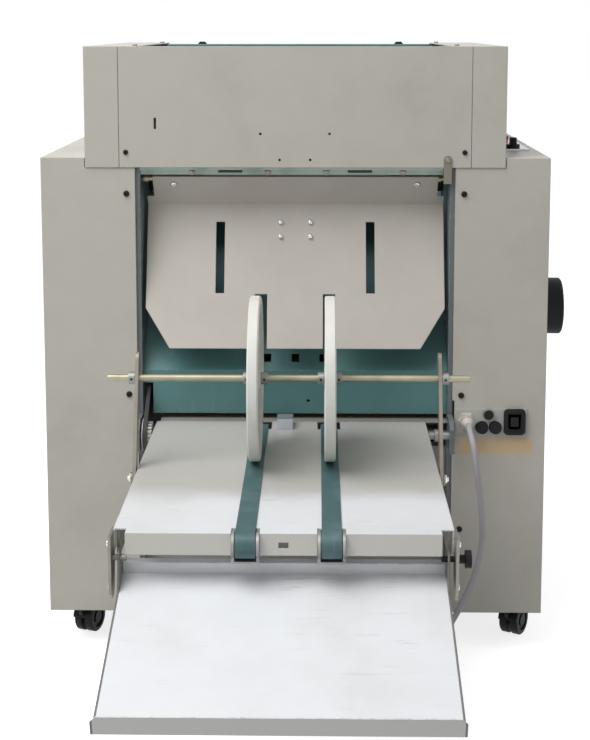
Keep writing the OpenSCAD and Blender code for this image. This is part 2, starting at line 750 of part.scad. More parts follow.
module guard_plate() color(cream) place() {
    hinge = [guard_hinge_y, guard_z];
    fold = hinge + [guard_fold_y, -guard_fold_drop];
    toe = hinge + [-guard_toe, -guard_drop];
    lead = unit(fold - hinge);
    flange_top = hinge + left_of(hinge, fold) * -flange_off - lead * flange_up;
    difference() {
        union() {
            prism_x(-guard_half, guard_half) polygon(strip3(flange_top, fold, toe, -sheet_t));
            both_sides() rod_x(knuckle_end - knuckle_w, knuckle_end, hinge, knuckle_r);
        }
        rod_x(-throat, throat, hinge, guard_bar_d / 2 + fit);
        both_sides() {
            block([knuckle_end, throat], [0, body_d], [guard_z - 24, head_z]);
            block([guard_slot_x - guard_slot_w / 2, guard_slot_x + guard_slot_w / 2], [-100, 100],
                  [guard_bottom + guard_slot_up, guard_bottom + guard_slot_up + guard_slot_h]);
            block([belt_x - guard_notch_w / 2, belt_x + guard_notch_w / 2], [-100, 100],
                  [guard_bottom - 5, guard_bottom + guard_notch_h]);
            prism_y(-100, 100) polygon([[guard_half + cut, guard_bottom - 5],
                [guard_half - guard_chamfer_w, guard_bottom - 5],
                [guard_half - guard_chamfer_w, guard_bottom], [guard_half, guard_bottom + guard_chamfer_h],
                [guard_half + cut, guard_bottom + guard_chamfer_h]]);
        }
    }
}

strap_up = 10;
module hinge_strap() color(zinc) place() {
    x = inner - 4;
    half_w = 5;
    block([x - half_w, x + half_w], [-sheet_t - 2, -sheet_t], [guard_z - 4, head_z + strap_up]);
    rod_y(-sheet_t - 2, -sheet_t, x, head_z + strap_up, half_w);
    rod_y(-sheet_t, guard_hinge_y - guard_bar_d / 2 - 0.2, x, guard_z, 3);
}

// Controls and power
control_y = 115;
control_x = [head_w / 2 + control_gap, body_w / 2 - control_edge];
control_mid = (control_x[0] + control_x[1]) / 2;
selector_pt = [control_mid, control_y + 14];
button_pt = [control_mid + 2, control_y + control_len * 0.4];
control_hole_r = 4;
control_t = 2;
module control_plate() color(steel) place() difference() {
    block(control_x, [control_y, control_y + control_len], [cover_top, cover_top + control_t]);
    for (p = [selector_pt, button_pt])
        translate([p[0], p[1], cover_top - cut])
            cylinder(r = control_hole_r + fit, h = control_t + 2 * cut);
}
module mode_knob() color(dark) place() translate([selector_pt[0], selector_pt[1], cover_top + control_t]) {
    translate([0, 0, -control_t - 4]) cylinder(r = control_hole_r, h = control_t + 5);
    translate([0, 0, run_gap]) difference() {
        cylinder(d = selector_d, h = 14);
        both_sides() translate([selector_d / 2 - 5, -selector_d, 5]) cube([selector_d, 2 * selector_d, 10]);
    }
}
module stop_button() color([0.6, 0.1, 0.1]) place() translate([button_pt[0], button_pt[1],
    cover_top + control_t]) {
    translate([0, 0, -control_t - 4]) cylinder(r = control_hole_r, h = control_t + 5 + button_travel);
    translate([0, 0, button_travel + run_gap]) cylinder(d = button_d, h = 6);
}

power_x = throat + 3.5;
power_t = 2;
outlet_x = power_x + power_w - 16.2;
fuse_x = [power_x + 34, power_x + 51];
breaker_x = power_x + 42.5;
gland_bore_r = cord_d / 2 + 2;
module power_plate() color(white) place() difference() {
    block([power_x, power_x + power_w], [-power_t, 0], [power_z - power_h / 2, power_z + power_h / 2]);
    rod_y(-power_t - cut, cut, gland_x, gland_z, gland_bore_r);
    block([outlet_x - 9, outlet_x + 9], [-power_t - cut, cut], [power_z - 11, power_z + 11]);
}
module power_fittings() color(dark) place() {
    for (x = fuse_x) {
        rod_y(-power_t - 7, -power_t, x, power_z - 7.5, 7.3);
        rod_y(-power_t - 9, -power_t - 7, x, power_z - 7.5, 4);
    }
    rod_y(-power_t - 4, -power_t, breaker_x, power_z + 9, 6);
    difference() {
        union() {
            block([outlet_x - 12, outlet_x + 12], [-power_t - 3, -power_t], [power_z - 15, power_z + 15]);
            block([outlet_x - 9, outlet_x + 9], [-power_t, 22], [power_z - 11, power_z + 11]);
        }
        prism_y(-power_t - 3 - cut, 16) difference() {
            polygon([[outlet_x - 6, power_z - 10], [outlet_x + 6, power_z - 10],
                [outlet_x + 8, power_z - 7],
                     [outlet_x + 8, power_z + 10], [outlet_x - 8, power_z + 10],
                     [outlet_x - 8, power_z - 7]]);
            translate([outlet_x - 5, power_z - 6]) square([10, 12]);
        }
    }
}
module cable_gland() color(cream) place() translate([gland_x, -power_t, gland_z]) rotate([90, 0, 0]) {
    cylinder(r = 11, h = 7, $fn = 6);
    translate([0, 0, 7]) cylinder(r = 8.5, h = 8);
    translate([0, 0, 15]) cylinder(r1 = 7.5, r2 = cord_d / 2 + 1, h = gland_len - power_t - 15);
}

// Conveyor
cheek_r = 12.5;
belt_at = [-belt_x - conveyor_shift, belt_x - conveyor_shift];
sensor_x = -12;
module conveyor_deck() color(white) place() on_conveyor() difference() {
    skirt_z = [deck_top - deck_skirt, deck_top - sheet_t];
    front = -deck_len;
    union() {
        block([-deck_half, deck_half], [front, 0], [deck_top - sheet_t, deck_top]);
        block([-deck_half + deck_corner_w, deck_half - deck_corner_w], [front, front + sheet_t], skirt_z);
        both_sides() block([rail_out, deck_half], [front + deck_corner_l, 0], skirt_z);
    }
    both_sides() block([deck_half - deck_corner_w, deck_half + cut], [front - cut, front + deck_corner_l],
                       [deck_top - deck_skirt - cut, deck_top + cut]);
    for (x = belt_at) {
        block([x - notch_half, x + notch_half], [front - cut, front_axis_y + cheek_r + 2.5],
              [deck_top - deck_skirt - cut, deck_top + cut]);
        block([x - notch_half, x + notch_half], [-drive_y - belt_in_r - belt_t - 2, cut],
              [deck_top - deck_skirt - cut, deck_top + cut]);
    }
    block([-5, 5], [front - cut, front + sheet_t + cut], [deck_top - 15, deck_top - 9]);
    rod_x(-deck_half - cut, deck_half + cut, drive_pt, shaft_r + 1);
    rod_x(-deck_half - cut, deck_half + cut, [-arm_pivot_y, arm_z], arm_pin_d / 2 + side_gap);
}

module conveyor_rails() color(steel) place() {
    stud_r = arm_pin_d / 2;
    on_conveyor() both_sides() difference() {
        union() {
            block([rail_in, rail_out], [rail_front, standoff_y + 12], [rail_top - rail_h, rail_top]);
            turned_x([-arm_pivot_y, arm_z], rail_in, [[arm_out + side_gap, stud_r],
                [arm_out + side_gap + 2, stud_r + 3]]);
        }
        rod_x(rail_in - cut, rail_out + cut, drive_pt, shaft_r + fit);
    }
    for (side = [-1, 1])
        rod_x(side < 0 ? -inner : rail_out + conveyor_shift - 1, side < 0 ? 1 - rail_out + conveyor_shift : inner,
              [standoff_y, standoff_z], standoff_r);
}

module roller_brackets() color(steel) place() for (x = [-belt_x, belt_x]) translate([x, 0, 0]) {
    floor_z = axis_z - belt_in_r - belt_t - 4;
    tail_y = front_axis_y + cheek_tail;
    both_sides() prism_x(cheek_in, cheek_out) {
        translate([front_axis_y, axis_z]) circle(cheek_r);
        polygon([[front_axis_y - 6, floor_z], [tail_y, floor_z], [tail_y, deck_top - sheet_t],
                 [front_axis_y + 5, deck_top - sheet_t]]);
    }
    block([-cheek_out, cheek_out], [front_axis_y - 6, tail_y], [floor_z, floor_z + 2]);
    rod_x(-cheek_out, cheek_out, [front_axis_y, axis_z], axle_d / 2);
}

module conveyor_belts() color(teal) place() for (x = [-belt_x, belt_x])
    prism_x(x - belt_w / 2, x + belt_w / 2) belt_loop([front_axis_y, axis_z], drive_pt, belt_in_r, belt_t);

module front_roller(x) translate([x - roller_w / 2, front_axis_y, axis_z]) rotate([0, 90, 0])
    rotate_extrude()
    polygon([[axle_d / 2 + fit, 0], [roller_r - 0.5, 0], [roller_r, 0.5], [roller_r, roller_w - 0.5],
             [roller_r - 0.5, roller_w], [axle_d / 2 + fit, roller_w]]);
module front_roller_left() color(steel) place() front_roller(-belt_x);
module front_roller_right() color(steel) place() front_roller(belt_x);

bush_r = 7.85;
module conveyor_shaft() color(steel) place()
    turned_x(drive_pt, -throat, [[-belt_x - roller_w / 2, shaft_r], [-belt_x + roller_w / 2, roller_r],
        [belt_x - roller_w / 2, shaft_r], [belt_x + roller_w / 2, roller_r],
        [deck_half + conveyor_shift + 10, shaft_r], [deck_half + conveyor_shift + 17, bush_r],
        [throat, shaft_r]]);

module conveyor_pulley() color(white) place() {
    groove = PI * pulley_r / pulley_teeth;
    prism_x(left_belt_x - side_gap, left_belt_x + drive_belt_w + side_gap) translate(drive_pt)
        difference() {
        circle(pulley_r);
        circle(shaft_r + fit);
        for (i = [1 : pulley_teeth]) rotate(i * 360 / pulley_teeth)
            translate([pulley_r - 1.5, -groove / 2]) square([3, groove]);
    }
    prism_x(left_belt_x - side_gap - 1.2, left_belt_x - side_gap) translate(drive_pt) difference() {
        circle(pulley_r + drive_belt_t + 1.5);
        circle(shaft_r + fit);
    }
}

module sensor_cover() color(steel) place() translate([sensor_x, 0, deck_top]) difference() {
    front = -40;
    rear = -7;
    prism_x(-sensor_w / 2, sensor_w / 2) polygon([[rear, 0], [front, 0], [front + 7, sensor_h],
        [rear, sensor_h]]);
    prism_x(-sensor_w / 2 + sheet_t, sensor_w / 2 - sheet_t)
        polygon([[rear + cut, -cut], [front + sheet_t, -cut], [front + 7 + sheet_t, sensor_h - sheet_t],
                 [rear + cut, sensor_h - sheet_t]]);
}

// Press wheels
module press_arms() color(steel) place() on_conveyor() both_sides() {
    pivot = [-arm_pivot_y, arm_z];
    along = [sin(arm_lean), cos(arm_lean)];
    difference() {
        prism_x(arm_in, arm_out) stadium(pivot, pivot + along * (arm_len - arm_w), arm_w / 2);
        rod_x(arm_in - cut, arm_out + cut, pivot, arm_pin_d / 2 + fit);
        rod_x(arm_in - cut, arm_out + cut, [-rod_y, rod_z], rod_d / 2 + fit);
    }
}
module press_rod() color(zinc) place() on_conveyor()
    rod_x(-deck_half - rod_over, deck_half + rod_over, [-rod_y, rod_z], rod_d / 2);
module collar(x) difference() {
    rod_x(x, x + collar_w, [-rod_y, rod_z], collar_d / 2);
    rod_x(x - cut, x + collar_w + cut, [-rod_y, rod_z], rod_d / 2 + fit);
}
module rod_collars() color(steel) place() {
    on_conveyor() both_sides() collar(arm_out + side_gap);
    for (x = [-belt_x, belt_x]) {
        collar(x + wheel_t / 2 + side_gap);
        collar(x - wheel_t / 2 - side_gap - collar_w);
    }
}
module press_wheel(x) translate([x, -rod_y, rod_z]) rotate([0, 90, 0]) rotate_extrude($fn = 96) {
    half = wheel_t / 2;
    web = wheel_web_t / 2;
    hub = wheel_hub_d / 2;
    rim = wheel_r - wheel_rim;
    edge = 1.5;
    bore = rod_d / 2 + fit;
    polygon([[bore, -half], [hub, -half], [hub, -web], [rim, -web], [rim, -half], [wheel_r - edge, -half],
             [wheel_r, edge - half], [wheel_r, half - edge], [wheel_r - edge, half], [rim, half],
             [rim, web],
             [hub, web], [hub, half], [bore, half]]);
}
module press_wheel_left() color(white) place() press_wheel(-belt_x);
module press_wheel_right() color(white) place() press_wheel(belt_x);

// Tray
module tray() color(white) place() on_conveyor() {
    half = tray_half - side_gap;
    difference() {
        prism_x(-half, half)
            polygon([tray_pt(-tray_back, -tray_drop), tray_pt(tray_front - tray_t, -tray_drop),
                     tray_pt(tray_front - tray_t, tray_lip - tray_drop), lip_tip, lip_foot,
                     tray_pt(-tray_back, -tray_drop - tray_t)]);
        both_sides() prism_y(tray_tip_y - 5, tray_tip_y + 15)
            polygon([[half + cut, lip_tip[1] + cut], [half - tray_lip_chamfer, lip_tip[1] + cut],
                     [half - tray_lip_chamfer, lip_tip[1]], [half, lip_tip[1] - tray_lip_chamfer],
                     [half + cut, lip_tip[1] - tray_lip_chamfer]]);
    }
    both_sides() prism_x(ear_x, ear_x + ear_t) difference() {
        union() {
            translate(tray_hinge) circle(tray_ear_r);
            polygon([tray_pt(-tray_back, -tray_drop - tray_t / 2), tray_pt(25, -tray_drop - tray_t / 2),
                     tray_pt(tray_ear_r, 0), tray_pt(-tray_ear_r, 0)]);
        }
        translate(tray_hinge) circle(tray_pin_d / 2 + run_gap);
    }
}

module tray_brackets() color(steel) place() on_conveyor() both_sides_with_pin() difference() {
    low = deck_top - bracket_drop;
    half = bracket_w / 2;
    prism_x(deck_half, deck_half + bracket_t)
        polygon([[tray_hinge[0] - half, deck_top - 2], [tray_hinge[0] + half, deck_top - 2],
            [tray_hinge[0] + 10, low + 6],
                 [tray_hinge[0] + 4, low], [tray_hinge[0] - 8, low], [tray_hinge[0] - 14, low + 6]]);
    rod_x(deck_half - cut, deck_half + bracket_t + cut, tray_hinge, tray_pin_d / 2 + fit);
}
module both_sides_with_pin() {
    children();
    mirror([1, 0, 0]) {
        children();
        rod_x(ear_x - 6, deck_half + bracket_t, tray_hinge, tray_pin_d / 2 + fit);
    }
}
module tray_knob() color(dark) place() on_conveyor() {
    face = deck_half + bracket_t + side_gap;
    turned_x(tray_hinge, ear_x - 6, [[face, tray_pin_d / 2], [face + 7, tray_pin_d / 2 + 1.5],
        [face + 13, knob_d / 2]]);
}

// Casters
module at_caster(side, y, turn) translate([side * caster_x, y, 0]) rotate(turn) children();
caster_axle_r = 3;
module caster_fork() {
    axle = [caster_trail, caster_d / 2];
    web = caster_gap / 2 - side_gap;
    wide = caster_gap / 2 + caster_wheel_w;
    hood_in = caster_d / 2 + 1;
    hood_t = 2;
    top = floor_gap - 0.5;
    difference() {
        union() {
            translate([0, 0, top]) cylinder(d = stem_d, h = stem_depth - 1);
            translate([0, 0, top - 3]) cylinder(r = 13, h = 3);
            translate([0, 0, axle[1] + 19.5]) cylinder(r = 9, h = top - 3 - axle[1] - 19.5);
            prism_y(-web, web) stadium(axle, [0, axle[1] + 16], 9);
            prism_y(-wide, wide) intersection() {
                difference() { translate(axle) circle(hood_in + hood_t); translate(axle) circle(hood_in); }
                translate([axle[0] - 2 * hood_in, axle[1] + 4]) square([2.4 * hood_in, 2 * hood_in]);
            }
            prism_y(-web, web) intersection() {
                translate(axle) circle(hood_in + hood_t);
                translate([axle[0] - 2 * hood_in, axle[1] + 4]) square([2.4 * hood_in, 2 * hood_in]);
            }
        }
        rod_y(-web - cut, web + cut, axle[0], axle[1], caster_axle_r + fit);
    }
}
module caster_wheels() {
    out = caster_gap / 2 + caster_wheel_w;
    translate([caster_trail, out, caster_d / 2]) rotate([90, 0, 0]) rotate_extrude()
        polygon([[0, 0], [8, 0], [8, 2], [14, 2], [14, 0], [caster_d / 2 - 1.5, 0], [caster_d / 2, 1.5],
                 [caster_d / 2, caster_wheel_w], [caster_axle_r, caster_wheel_w],
                 [caster_axle_r, caster_wheel_w + caster_gap], [caster_d / 2, caster_wheel_w + caster_gap],
                 [caster_d / 2, 2 * out - 1.5], [caster_d / 2 - 1.5, 2 * out], [14, 2 * out],
                 [14, 2 * out - 2],
                 [8, 2 * out - 2], [8, 2 * out], [0, 2 * out]]);
}
module caster_fork_front_left() color(dark) place() at_caster(-1, caster_inset_y, caster_turn_left)
    caster_fork();
module caster_fork_front_right() color(dark) place() at_caster(1, caster_inset_y, caster_turn_right)
    caster_fork();
module caster_fork_rear_left() color(dark) place() at_caster(-1, caster_rear_y, caster_turn_left)
    caster_fork();
module caster_fork_rear_right() color(dark) place() at_caster(1, caster_rear_y, caster_turn_right)
    caster_fork();
module caster_wheels_front_left() color(dark) place() at_caster(-1, caster_inset_y, caster_turn_left)
    caster_wheels();
module caster_wheels_front_right() color(dark) place() at_caster(1, caster_inset_y, caster_turn_right)
    caster_wheels();
module caster_wheels_rear_left() color(dark) place() at_caster(-1, caster_rear_y, caster_turn_left)
    caster_wheels();
module caster_wheels_rear_right() color(dark) place() at_caster(1, caster_rear_y, caster_turn_right)
    caster_wheels();

// Mains cord: a tube swept along points, its rings carried along without twist
function tangent(p, i) = unit(p[min(i + 1, len(p) - 1)] - p[max(i - 1, 0)]);
function square_to(n, t) = unit(n - (n * t) * t);
function carried(p, n0) = [for (i = 0, n = square_to(n0, tangent(p, 0)); i < len(p);
                                i = i + 1, n = i < len(p) ? square_to(n, tangent(p, i)) : n) n];
module tube(p, r, sides, n0) {
    normals = carried(p, n0);
    last = len(p) - 1;
    points = [for (i = [0 : last]) let (n = normals[i], b = cross(tangent(p, i), n))
        for (k = [0 : sides - 1])
              p[i] + r * (cos(k * 360 / sides) * n + sin(k * 360 / sides) * b)];
    walls = [for (i = [0 : last - 1], k = [0 : sides - 1])
        let (a = i * sides + k, b = i * sides + (k + 1) % sides)
             each [[a, a + sides, b], [b, a + sides, b + sides]]];
    caps = [for (k = [1 : sides - 2]) each [[0, k, k + 1],
            [last * sides, last * sides + k + 1, last * sides + k]]];
    polyhedron(points, concat(walls, caps));
}
coil_end = 2 * coil_turns;
coil_tail = 45;
function coil_radius(turn) = coil_r_out - coil_pitch * (turn < coil_turns ? turn : coil_end - turn);
function climb(u) = u < 0 ? 0 : u > 1 ? 1 : u * u * (3 - 2 * u);
function coil_pt(turn) = [coil_x - coil_radius(turn) * sin(turn * 360),
    coil_y - coil_radius(turn) * cos(turn * 360),
                          coil_z + coil_pitch * climb((turn - coil_turns + 0.25) / 0.5)];
coil_path = concat([[coil_x + cord_d, coil_y - coil_r_out, coil_z]],
                   [for (i = [0 : coil_end * coil_steps]) coil_pt(i / coil_steps)],
                   [[coil_x - coil_tail, coil_y - coil_r_out, coil_z + coil_pitch]]);
module mains_cord() color(steel) place() tube(cord_route, cord_d / 2, 10, [1, 0, 0]);
module cord_coil() color(steel) place() {
    far = coil_steps / 2;
    gaps = [for (i = [0 : len(coil_path) - 1]) for (k = [i + far : 1 : len(coil_path) - 1])
            norm(coil_path[i] - coil_path[k]) - cord_d];
    echo(least_coil_gap = min(gaps));
    tube(coil_path, cord_d / 2, 6, [0, 0, 1]);
}
plug_len = 36;
module mains_plug() color(steel) place()
    translate([coil_x - coil_tail, coil_y - coil_r_out, coil_z + coil_pitch]) {
    half = coil_z + coil_pitch - 0.5;
    prism_x(-8 - plug_len, -8) polygon([[-12, 4 - half], [-8, -half], [8, -half], [12, 4 - half],
        [12, half - 4], [8, half],
                                        [-8, half], [-12, half - 4]]);
    rod_x(-8, 0, [0, 0], cord_d / 2 + 2);
    for (y = [-6.35, 6.35]) block([-8 - plug_len - 16, -8 - plug_len], [y - 0.8, y + 0.8], [-1, 5.3]);
    rod_x(-8 - plug_len - 18, -8 - plug_len, [0, -8], 2.4);
}

base_frame();
left_side_frame();
right_side_frame();
tie_bars();
left_side_cover();
right_side_cover();
rear_cover();
lower_front_cover();
head_front_panel();
head_caps();
head_cross_plate();
pocket_plate();
chute_plate();
exit_guide();
stitch_heads();
fold_knife();
hinge_strap();
guard_bar();
power_plate();
power_fittings();
cable_gland();
control_plate();
conveyor_deck();
conveyor_rails();
roller_brackets();
conveyor_belts();
drive_belts();
drive_motor();
motor_pulley();
sensor_cover();
tray_brackets();
mains_cord();
cord_coil();
mains_plug();
guard_plate();
main_shaft();
handwheel();
fold_roller_upper();
fold_roller_lower();
conveyor_shaft();
conveyor_pulley();
front_roller_left();
front_roller_right();
press_arms();
press_rod();
rod_collars();
press_wheel_left();
press_wheel_right();
tray();
tray_knob();
mode_knob();
stop_button();
caster_fork_front_left();
caster_fork_front_right();
caster_fork_rear_left();
caster_fork_rear_right();
caster_wheels_front_left();
caster_wheels_front_right();
caster_wheels_rear_left();
caster_wheels_rear_right();
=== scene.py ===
import json
import math

import bpy
from mathutils import Matrix, Vector


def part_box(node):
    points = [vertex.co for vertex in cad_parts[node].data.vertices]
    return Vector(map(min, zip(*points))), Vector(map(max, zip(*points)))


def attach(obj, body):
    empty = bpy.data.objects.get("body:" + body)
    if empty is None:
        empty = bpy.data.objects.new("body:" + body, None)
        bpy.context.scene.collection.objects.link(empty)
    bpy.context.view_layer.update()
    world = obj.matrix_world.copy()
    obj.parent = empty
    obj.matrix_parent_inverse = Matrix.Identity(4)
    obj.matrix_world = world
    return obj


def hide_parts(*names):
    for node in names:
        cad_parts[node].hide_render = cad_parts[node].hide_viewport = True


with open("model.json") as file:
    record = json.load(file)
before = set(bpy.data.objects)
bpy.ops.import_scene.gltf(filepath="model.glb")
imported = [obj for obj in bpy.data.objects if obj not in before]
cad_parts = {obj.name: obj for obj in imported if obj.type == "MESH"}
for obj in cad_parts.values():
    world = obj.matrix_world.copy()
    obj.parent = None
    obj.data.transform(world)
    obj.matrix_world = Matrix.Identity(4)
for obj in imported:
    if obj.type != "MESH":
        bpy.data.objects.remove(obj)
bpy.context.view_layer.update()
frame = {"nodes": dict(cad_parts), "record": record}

cad = frame["nodes"]
scene = bpy.context.scene
scene.view_settings.view_transform = "Standard"

# Sizes below are in millimetres on the machine itself: X 0 is its middle, Y 0 the front
# of the side covers and Z 0 the floor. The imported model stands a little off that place,
# so the left cover's lowest front corner gives the shift.
MM = 0.001
COVER_CORNER = Vector((-318.0, 0.0, 53.0))
SHIFT = Vector(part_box("left_side_cover")[0]) / MM - COVER_CORNER


def at(x, y, z):
    return (Vector((x, y, z)) + SHIFT) * MM


def srgb(red, green, blue):
    def linear(value):
        value /= 255.0
        return value / 12.92 if value <= 0.04045 else ((value + 0.055) / 1.055) ** 2.4
    return (linear(red), linear(green), linear(blue), 1.0)


# Camera

IMAGE_HEIGHT = 740
FOCAL_PX = 1478.8
TILT = 0.1317
YAW = 0.0154
SHIFT_Y = -0.2
SENSOR_WIDTH = 36.0
CAMERA_PLACE = (28.3, -1835.3, 805.8)

camera_data = bpy.data.cameras.new("photo_camera")
camera_data.sensor_width = SENSOR_WIDTH
camera_data.lens = SENSOR_WIDTH * FOCAL_PX / IMAGE_HEIGHT
camera_data.shift_y = SHIFT_Y
camera_data.clip_end = 60.0
camera = bpy.data.objects.new("photo_camera", camera_data)
scene.collection.objects.link(camera)
camera.location = at(*CAMERA_PLACE)
camera.rotation_euler = (math.pi / 2 - TILT, 0.0, YAW)
scene.camera = camera


# Mains cord

CORD_D = 7.5
CORD_RUN = [
    (218, -30, 309), (218, -38, 309), (218, -52, 306), (220, -64, 297), (222, -70, 284),
    (224, -72, 268), (227, -70, 248), (231, -64, 222), (234, -56, 195), (235, -47, 166),
    (232, -38, 136), (225, -32, 106), (213, -30, 77), (200, -32, 53), (185, -38, 32),
    (168, -45, 17), (150, -51, 8.5), (132, -55, 4.5), (114, -57, 4), (96, -58, 4), (80, -58, 4),
]
COIL_CENTRE = (72.5, -4.0)
COIL_R = 54.0
COIL_PITCH = 8.0
COIL_LIFT = 4.0
TURNS_EACH_LAYER = 3
STEPS_A_TURN = 24
CLIMB_TURNS = 0.5
TAIL = 45.0


def coil_point(turn):
    inward = turn if turn < TURNS_EACH_LAYER else 2 * TURNS_EACH_LAYER - turn
    radius = COIL_R - COIL_PITCH * inward
    angle = math.radians(turn * 360.0)
    climb = min(max((turn - TURNS_EACH_LAYER + CLIMB_TURNS / 2) / CLIMB_TURNS, 0.0), 1.0)
    climb = climb * climb * (3.0 - 2.0 * climb)
    return (
        COIL_CENTRE[0] - radius * math.sin(angle),
        COIL_CENTRE[1] - radius * math.cos(angle),
        COIL_LIFT + COIL_PITCH * climb,
    )


def mains_cord():
    coil = [coil_point(step / STEPS_A_TURN) for step in range(2 * TURNS_EACH_LAYER * STEPS_A_TURN + 1)]
    last = coil[-1]
    tail = [(last[0] - TAIL * part, last[1], last[2]) for part in (0.25, 0.5, 0.75, 1.0)]
    route = [at(*point) for point in CORD_RUN + coil + tail]
    curve = bpy.data.curves.new("mains_cord_lead", "CURVE")
    curve.dimensions = "3D"
    curve.bevel_depth = CORD_D / 2 * MM
    curve.bevel_resolution = 4
    curve.resolution_u = 4
    curve.use_fill_caps = True
    spline = curve.splines.new("BEZIER")
    spline.bezier_points.add(len(route) - 1)
    for knot, place in zip(spline.bezier_points, route):
        knot.co = place
        knot.handle_left_type = knot.handle_right_type = "AUTO"
    lead = bpy.data.objects.new("mains_cord_lead", curve)
    scene.collection.objects.link(lead)
    bpy.ops.object.select_all(action="DESELECT")
    lead.select_set(True)
    bpy.context.view_layer.objects.active = lead
    bpy.ops.object.convert(target="MESH")
    lead = bpy.context.object
    bpy.ops.object.shade_smooth()
    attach(lead, "frame")
    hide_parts("mains_cord", "cord_coil")
    return lead


cord_lead = mains_cord()


# Floor, backdrop light and lamps

FLOOR_LIT = (0.6, 0.6, 0.6, 1.0)
FLOOR_SEEN = (0.8, 0.8, 0.8, 1.0)
FLOOR_GLOW = 0.78
SKY_COLOUR = (0.97, 0.985, 1.0, 1.0)
SKY_STRENGTH = 0.33
WHITE = (1.0, 1.0, 1.0, 1.0)


def pale_where_seen(tree, shade, pale):
    """Mixes from a lit shade to plain white for what the camera, gloss and glass see."""
    path = tree.nodes.new("ShaderNodeLightPath")
    either = tree.nodes.new("ShaderNodeMath")
    either.operation = "MAXIMUM"
    tree.links.new(path.outputs["Is Camera Ray"], either.inputs[0])
    tree.links.new(path.outputs["Is Glossy Ray"], either.inputs[1])
    seen = tree.nodes.new("ShaderNodeMath")
    seen.operation = "MAXIMUM"
    tree.links.new(either.outputs[0], seen.inputs[0])
    tree.links.new(path.outputs["Is Transmission Ray"], seen.inputs[1])
    mix = tree.nodes.new("ShaderNodeMixShader")
    tree.links.new(seen.outputs[0], mix.inputs[0])
    tree.links.new(shade, mix.inputs[1])
    tree.links.new(pale, mix.inputs[2])
    return mix.outputs[0]


def studio_floor():
    bpy.ops.object.select_all(action="DESELECT")
    bpy.ops.mesh.primitive_plane_add(size=40.0, location=(0, 0, 0))
    floor = bpy.context.object
    floor.name = "studio_floor"
    material = bpy.data.materials.new("studio_floor")
    material.use_nodes = True
    tree = material.node_tree
    tree.nodes.clear()
    lit = tree.nodes.new("ShaderNodeBsdfDiffuse")
    lit.inputs["Color"].default_value = FLOOR_LIT
    seen = tree.nodes.new("ShaderNodeBsdfDiffuse")
    seen.inputs["Color"].default_value = FLOOR_SEEN
    glow = tree.nodes.new("ShaderNodeEmission")
    glow.inputs["Strength"].default_value = FLOOR_GLOW
    lifted = tree.nodes.new("ShaderNodeAddShader")
    tree.links.new(seen.outputs[0], lifted.inputs[0])
    tree.links.new(glow.outputs[0], lifted.inputs[1])
    output = tree.nodes.new("ShaderNodeOutputMaterial")
    tree.links.new(pale_where_seen(tree, lit.outputs[0], lifted.outputs[0]), output.inputs["Surface"])
    floor.data.materials.append(material)


def studio_light():
    world = bpy.data.worlds.new("studio")
    scene.world = world
    world.use_nodes = True
    tree = world.node_tree
    tree.nodes.clear()
    dim = tree.nodes.new("ShaderNodeBackground")
    dim.inputs["Color"].default_value = SKY_COLOUR
    dim.inputs["Strength"].default_value = SKY_STRENGTH
    white = tree.nodes.new("ShaderNodeBackground")
    white.inputs["Color"].default_value = WHITE
    output = tree.nodes.new("ShaderNodeOutputWorld")
    tree.links.new(pale_where_seen(tree, dim.outputs[0], white.outputs[0]), output.inputs["Surface"])

    def soft_box(name, place, aim, size, watts):
        lamp_data = bpy.data.lights.new(name, "AREA")
        lamp_data.shape = "DISK"
        lamp_data.size = size
        lamp_data.energy = watts
        lamp = bpy.data.objects.new(name, lamp_data)
        scene.collection.objects.link(lamp)
        lamp.location = place
        lamp.rotation_euler = (Vector(aim) - Vector(place)).to_track_quat("-Z", "Y").to_euler()

    soft_box("overhead_box", (-1.3, -1.0, 3.0), (0.0, -0.1, 0.4), 2.6, 91.0)
    soft_box("front_box", (-0.6, -3.4, 1.5), (0.0, 0.0, 0.3), 2.4, 2.0)


studio_floor()
studio_light()


# Surface effects, each built once as a node group

COLOUR, NUMBER, VECTOR = "NodeSocketColor", "NodeSocketFloat", "NodeSocketVector"
SURFACE = [("Colour", COLOUR), ("Roughness", NUMBER), ("Height", NUMBER)]


def effect(name, inputs, outputs):
    group = bpy.data.node_groups.new(name, "ShaderNodeTree")
    for label, kind, value in inputs:
        socket = group.interface.new_socket(label, in_out="INPUT", socket_type=kind)
        socket.default_value = value
    for label, kind in outputs:
        group.interface.new_socket(label, in_out="OUTPUT", socket_type=kind)
    return group, group.nodes.new("NodeGroupInput").outputs, group.nodes.new("NodeGroupOutput").inputs


def object_coords(tree):
    return tree.nodes.new("ShaderNodeTexCoord").outputs["Object"]


def stretched(tree, coords, scale):
    mapping = tree.nodes.new("ShaderNodeMapping")
    tree.links.new(coords, mapping.inputs["Vector"])
    tree.links.new(scale, mapping.inputs["Scale"])
    return mapping.outputs["Vector"]


def split_axes(tree, coords):
    node = tree.nodes.new("ShaderNodeSeparateXYZ")
    tree.links.new(coords, node.inputs[0])
    return node.outputs


def noise(tree, coords, scale, detail=4.0, roughness=0.55):
    node = tree.nodes.new("ShaderNodeTexNoise")
    node.inputs["Scale"].default_value = scale
    node.inputs["Detail"].default_value = detail
    node.inputs["Roughness"].default_value = roughness
    tree.links.new(coords, node.inputs["Vector"])
    return node.outputs["Fac"]


def feed(tree, value, socket):
    if isinstance(value, bpy.types.NodeSocket):
        tree.links.new(value, socket)
    else:
        socket.default_value = value


def band(tree, value, low, high, bottom=0.0, top=1.0):
    node = tree.nodes.new("ShaderNodeMapRange")
    node.interpolation_type = "SMOOTHSTEP"
    for label, number in (("From Min", low), ("From Max", high), ("To Min", bottom), ("To Max", top)):
        feed(tree, number, node.inputs[label])
    tree.links.new(value, node.inputs["Value"])
    return node.outputs["Result"]


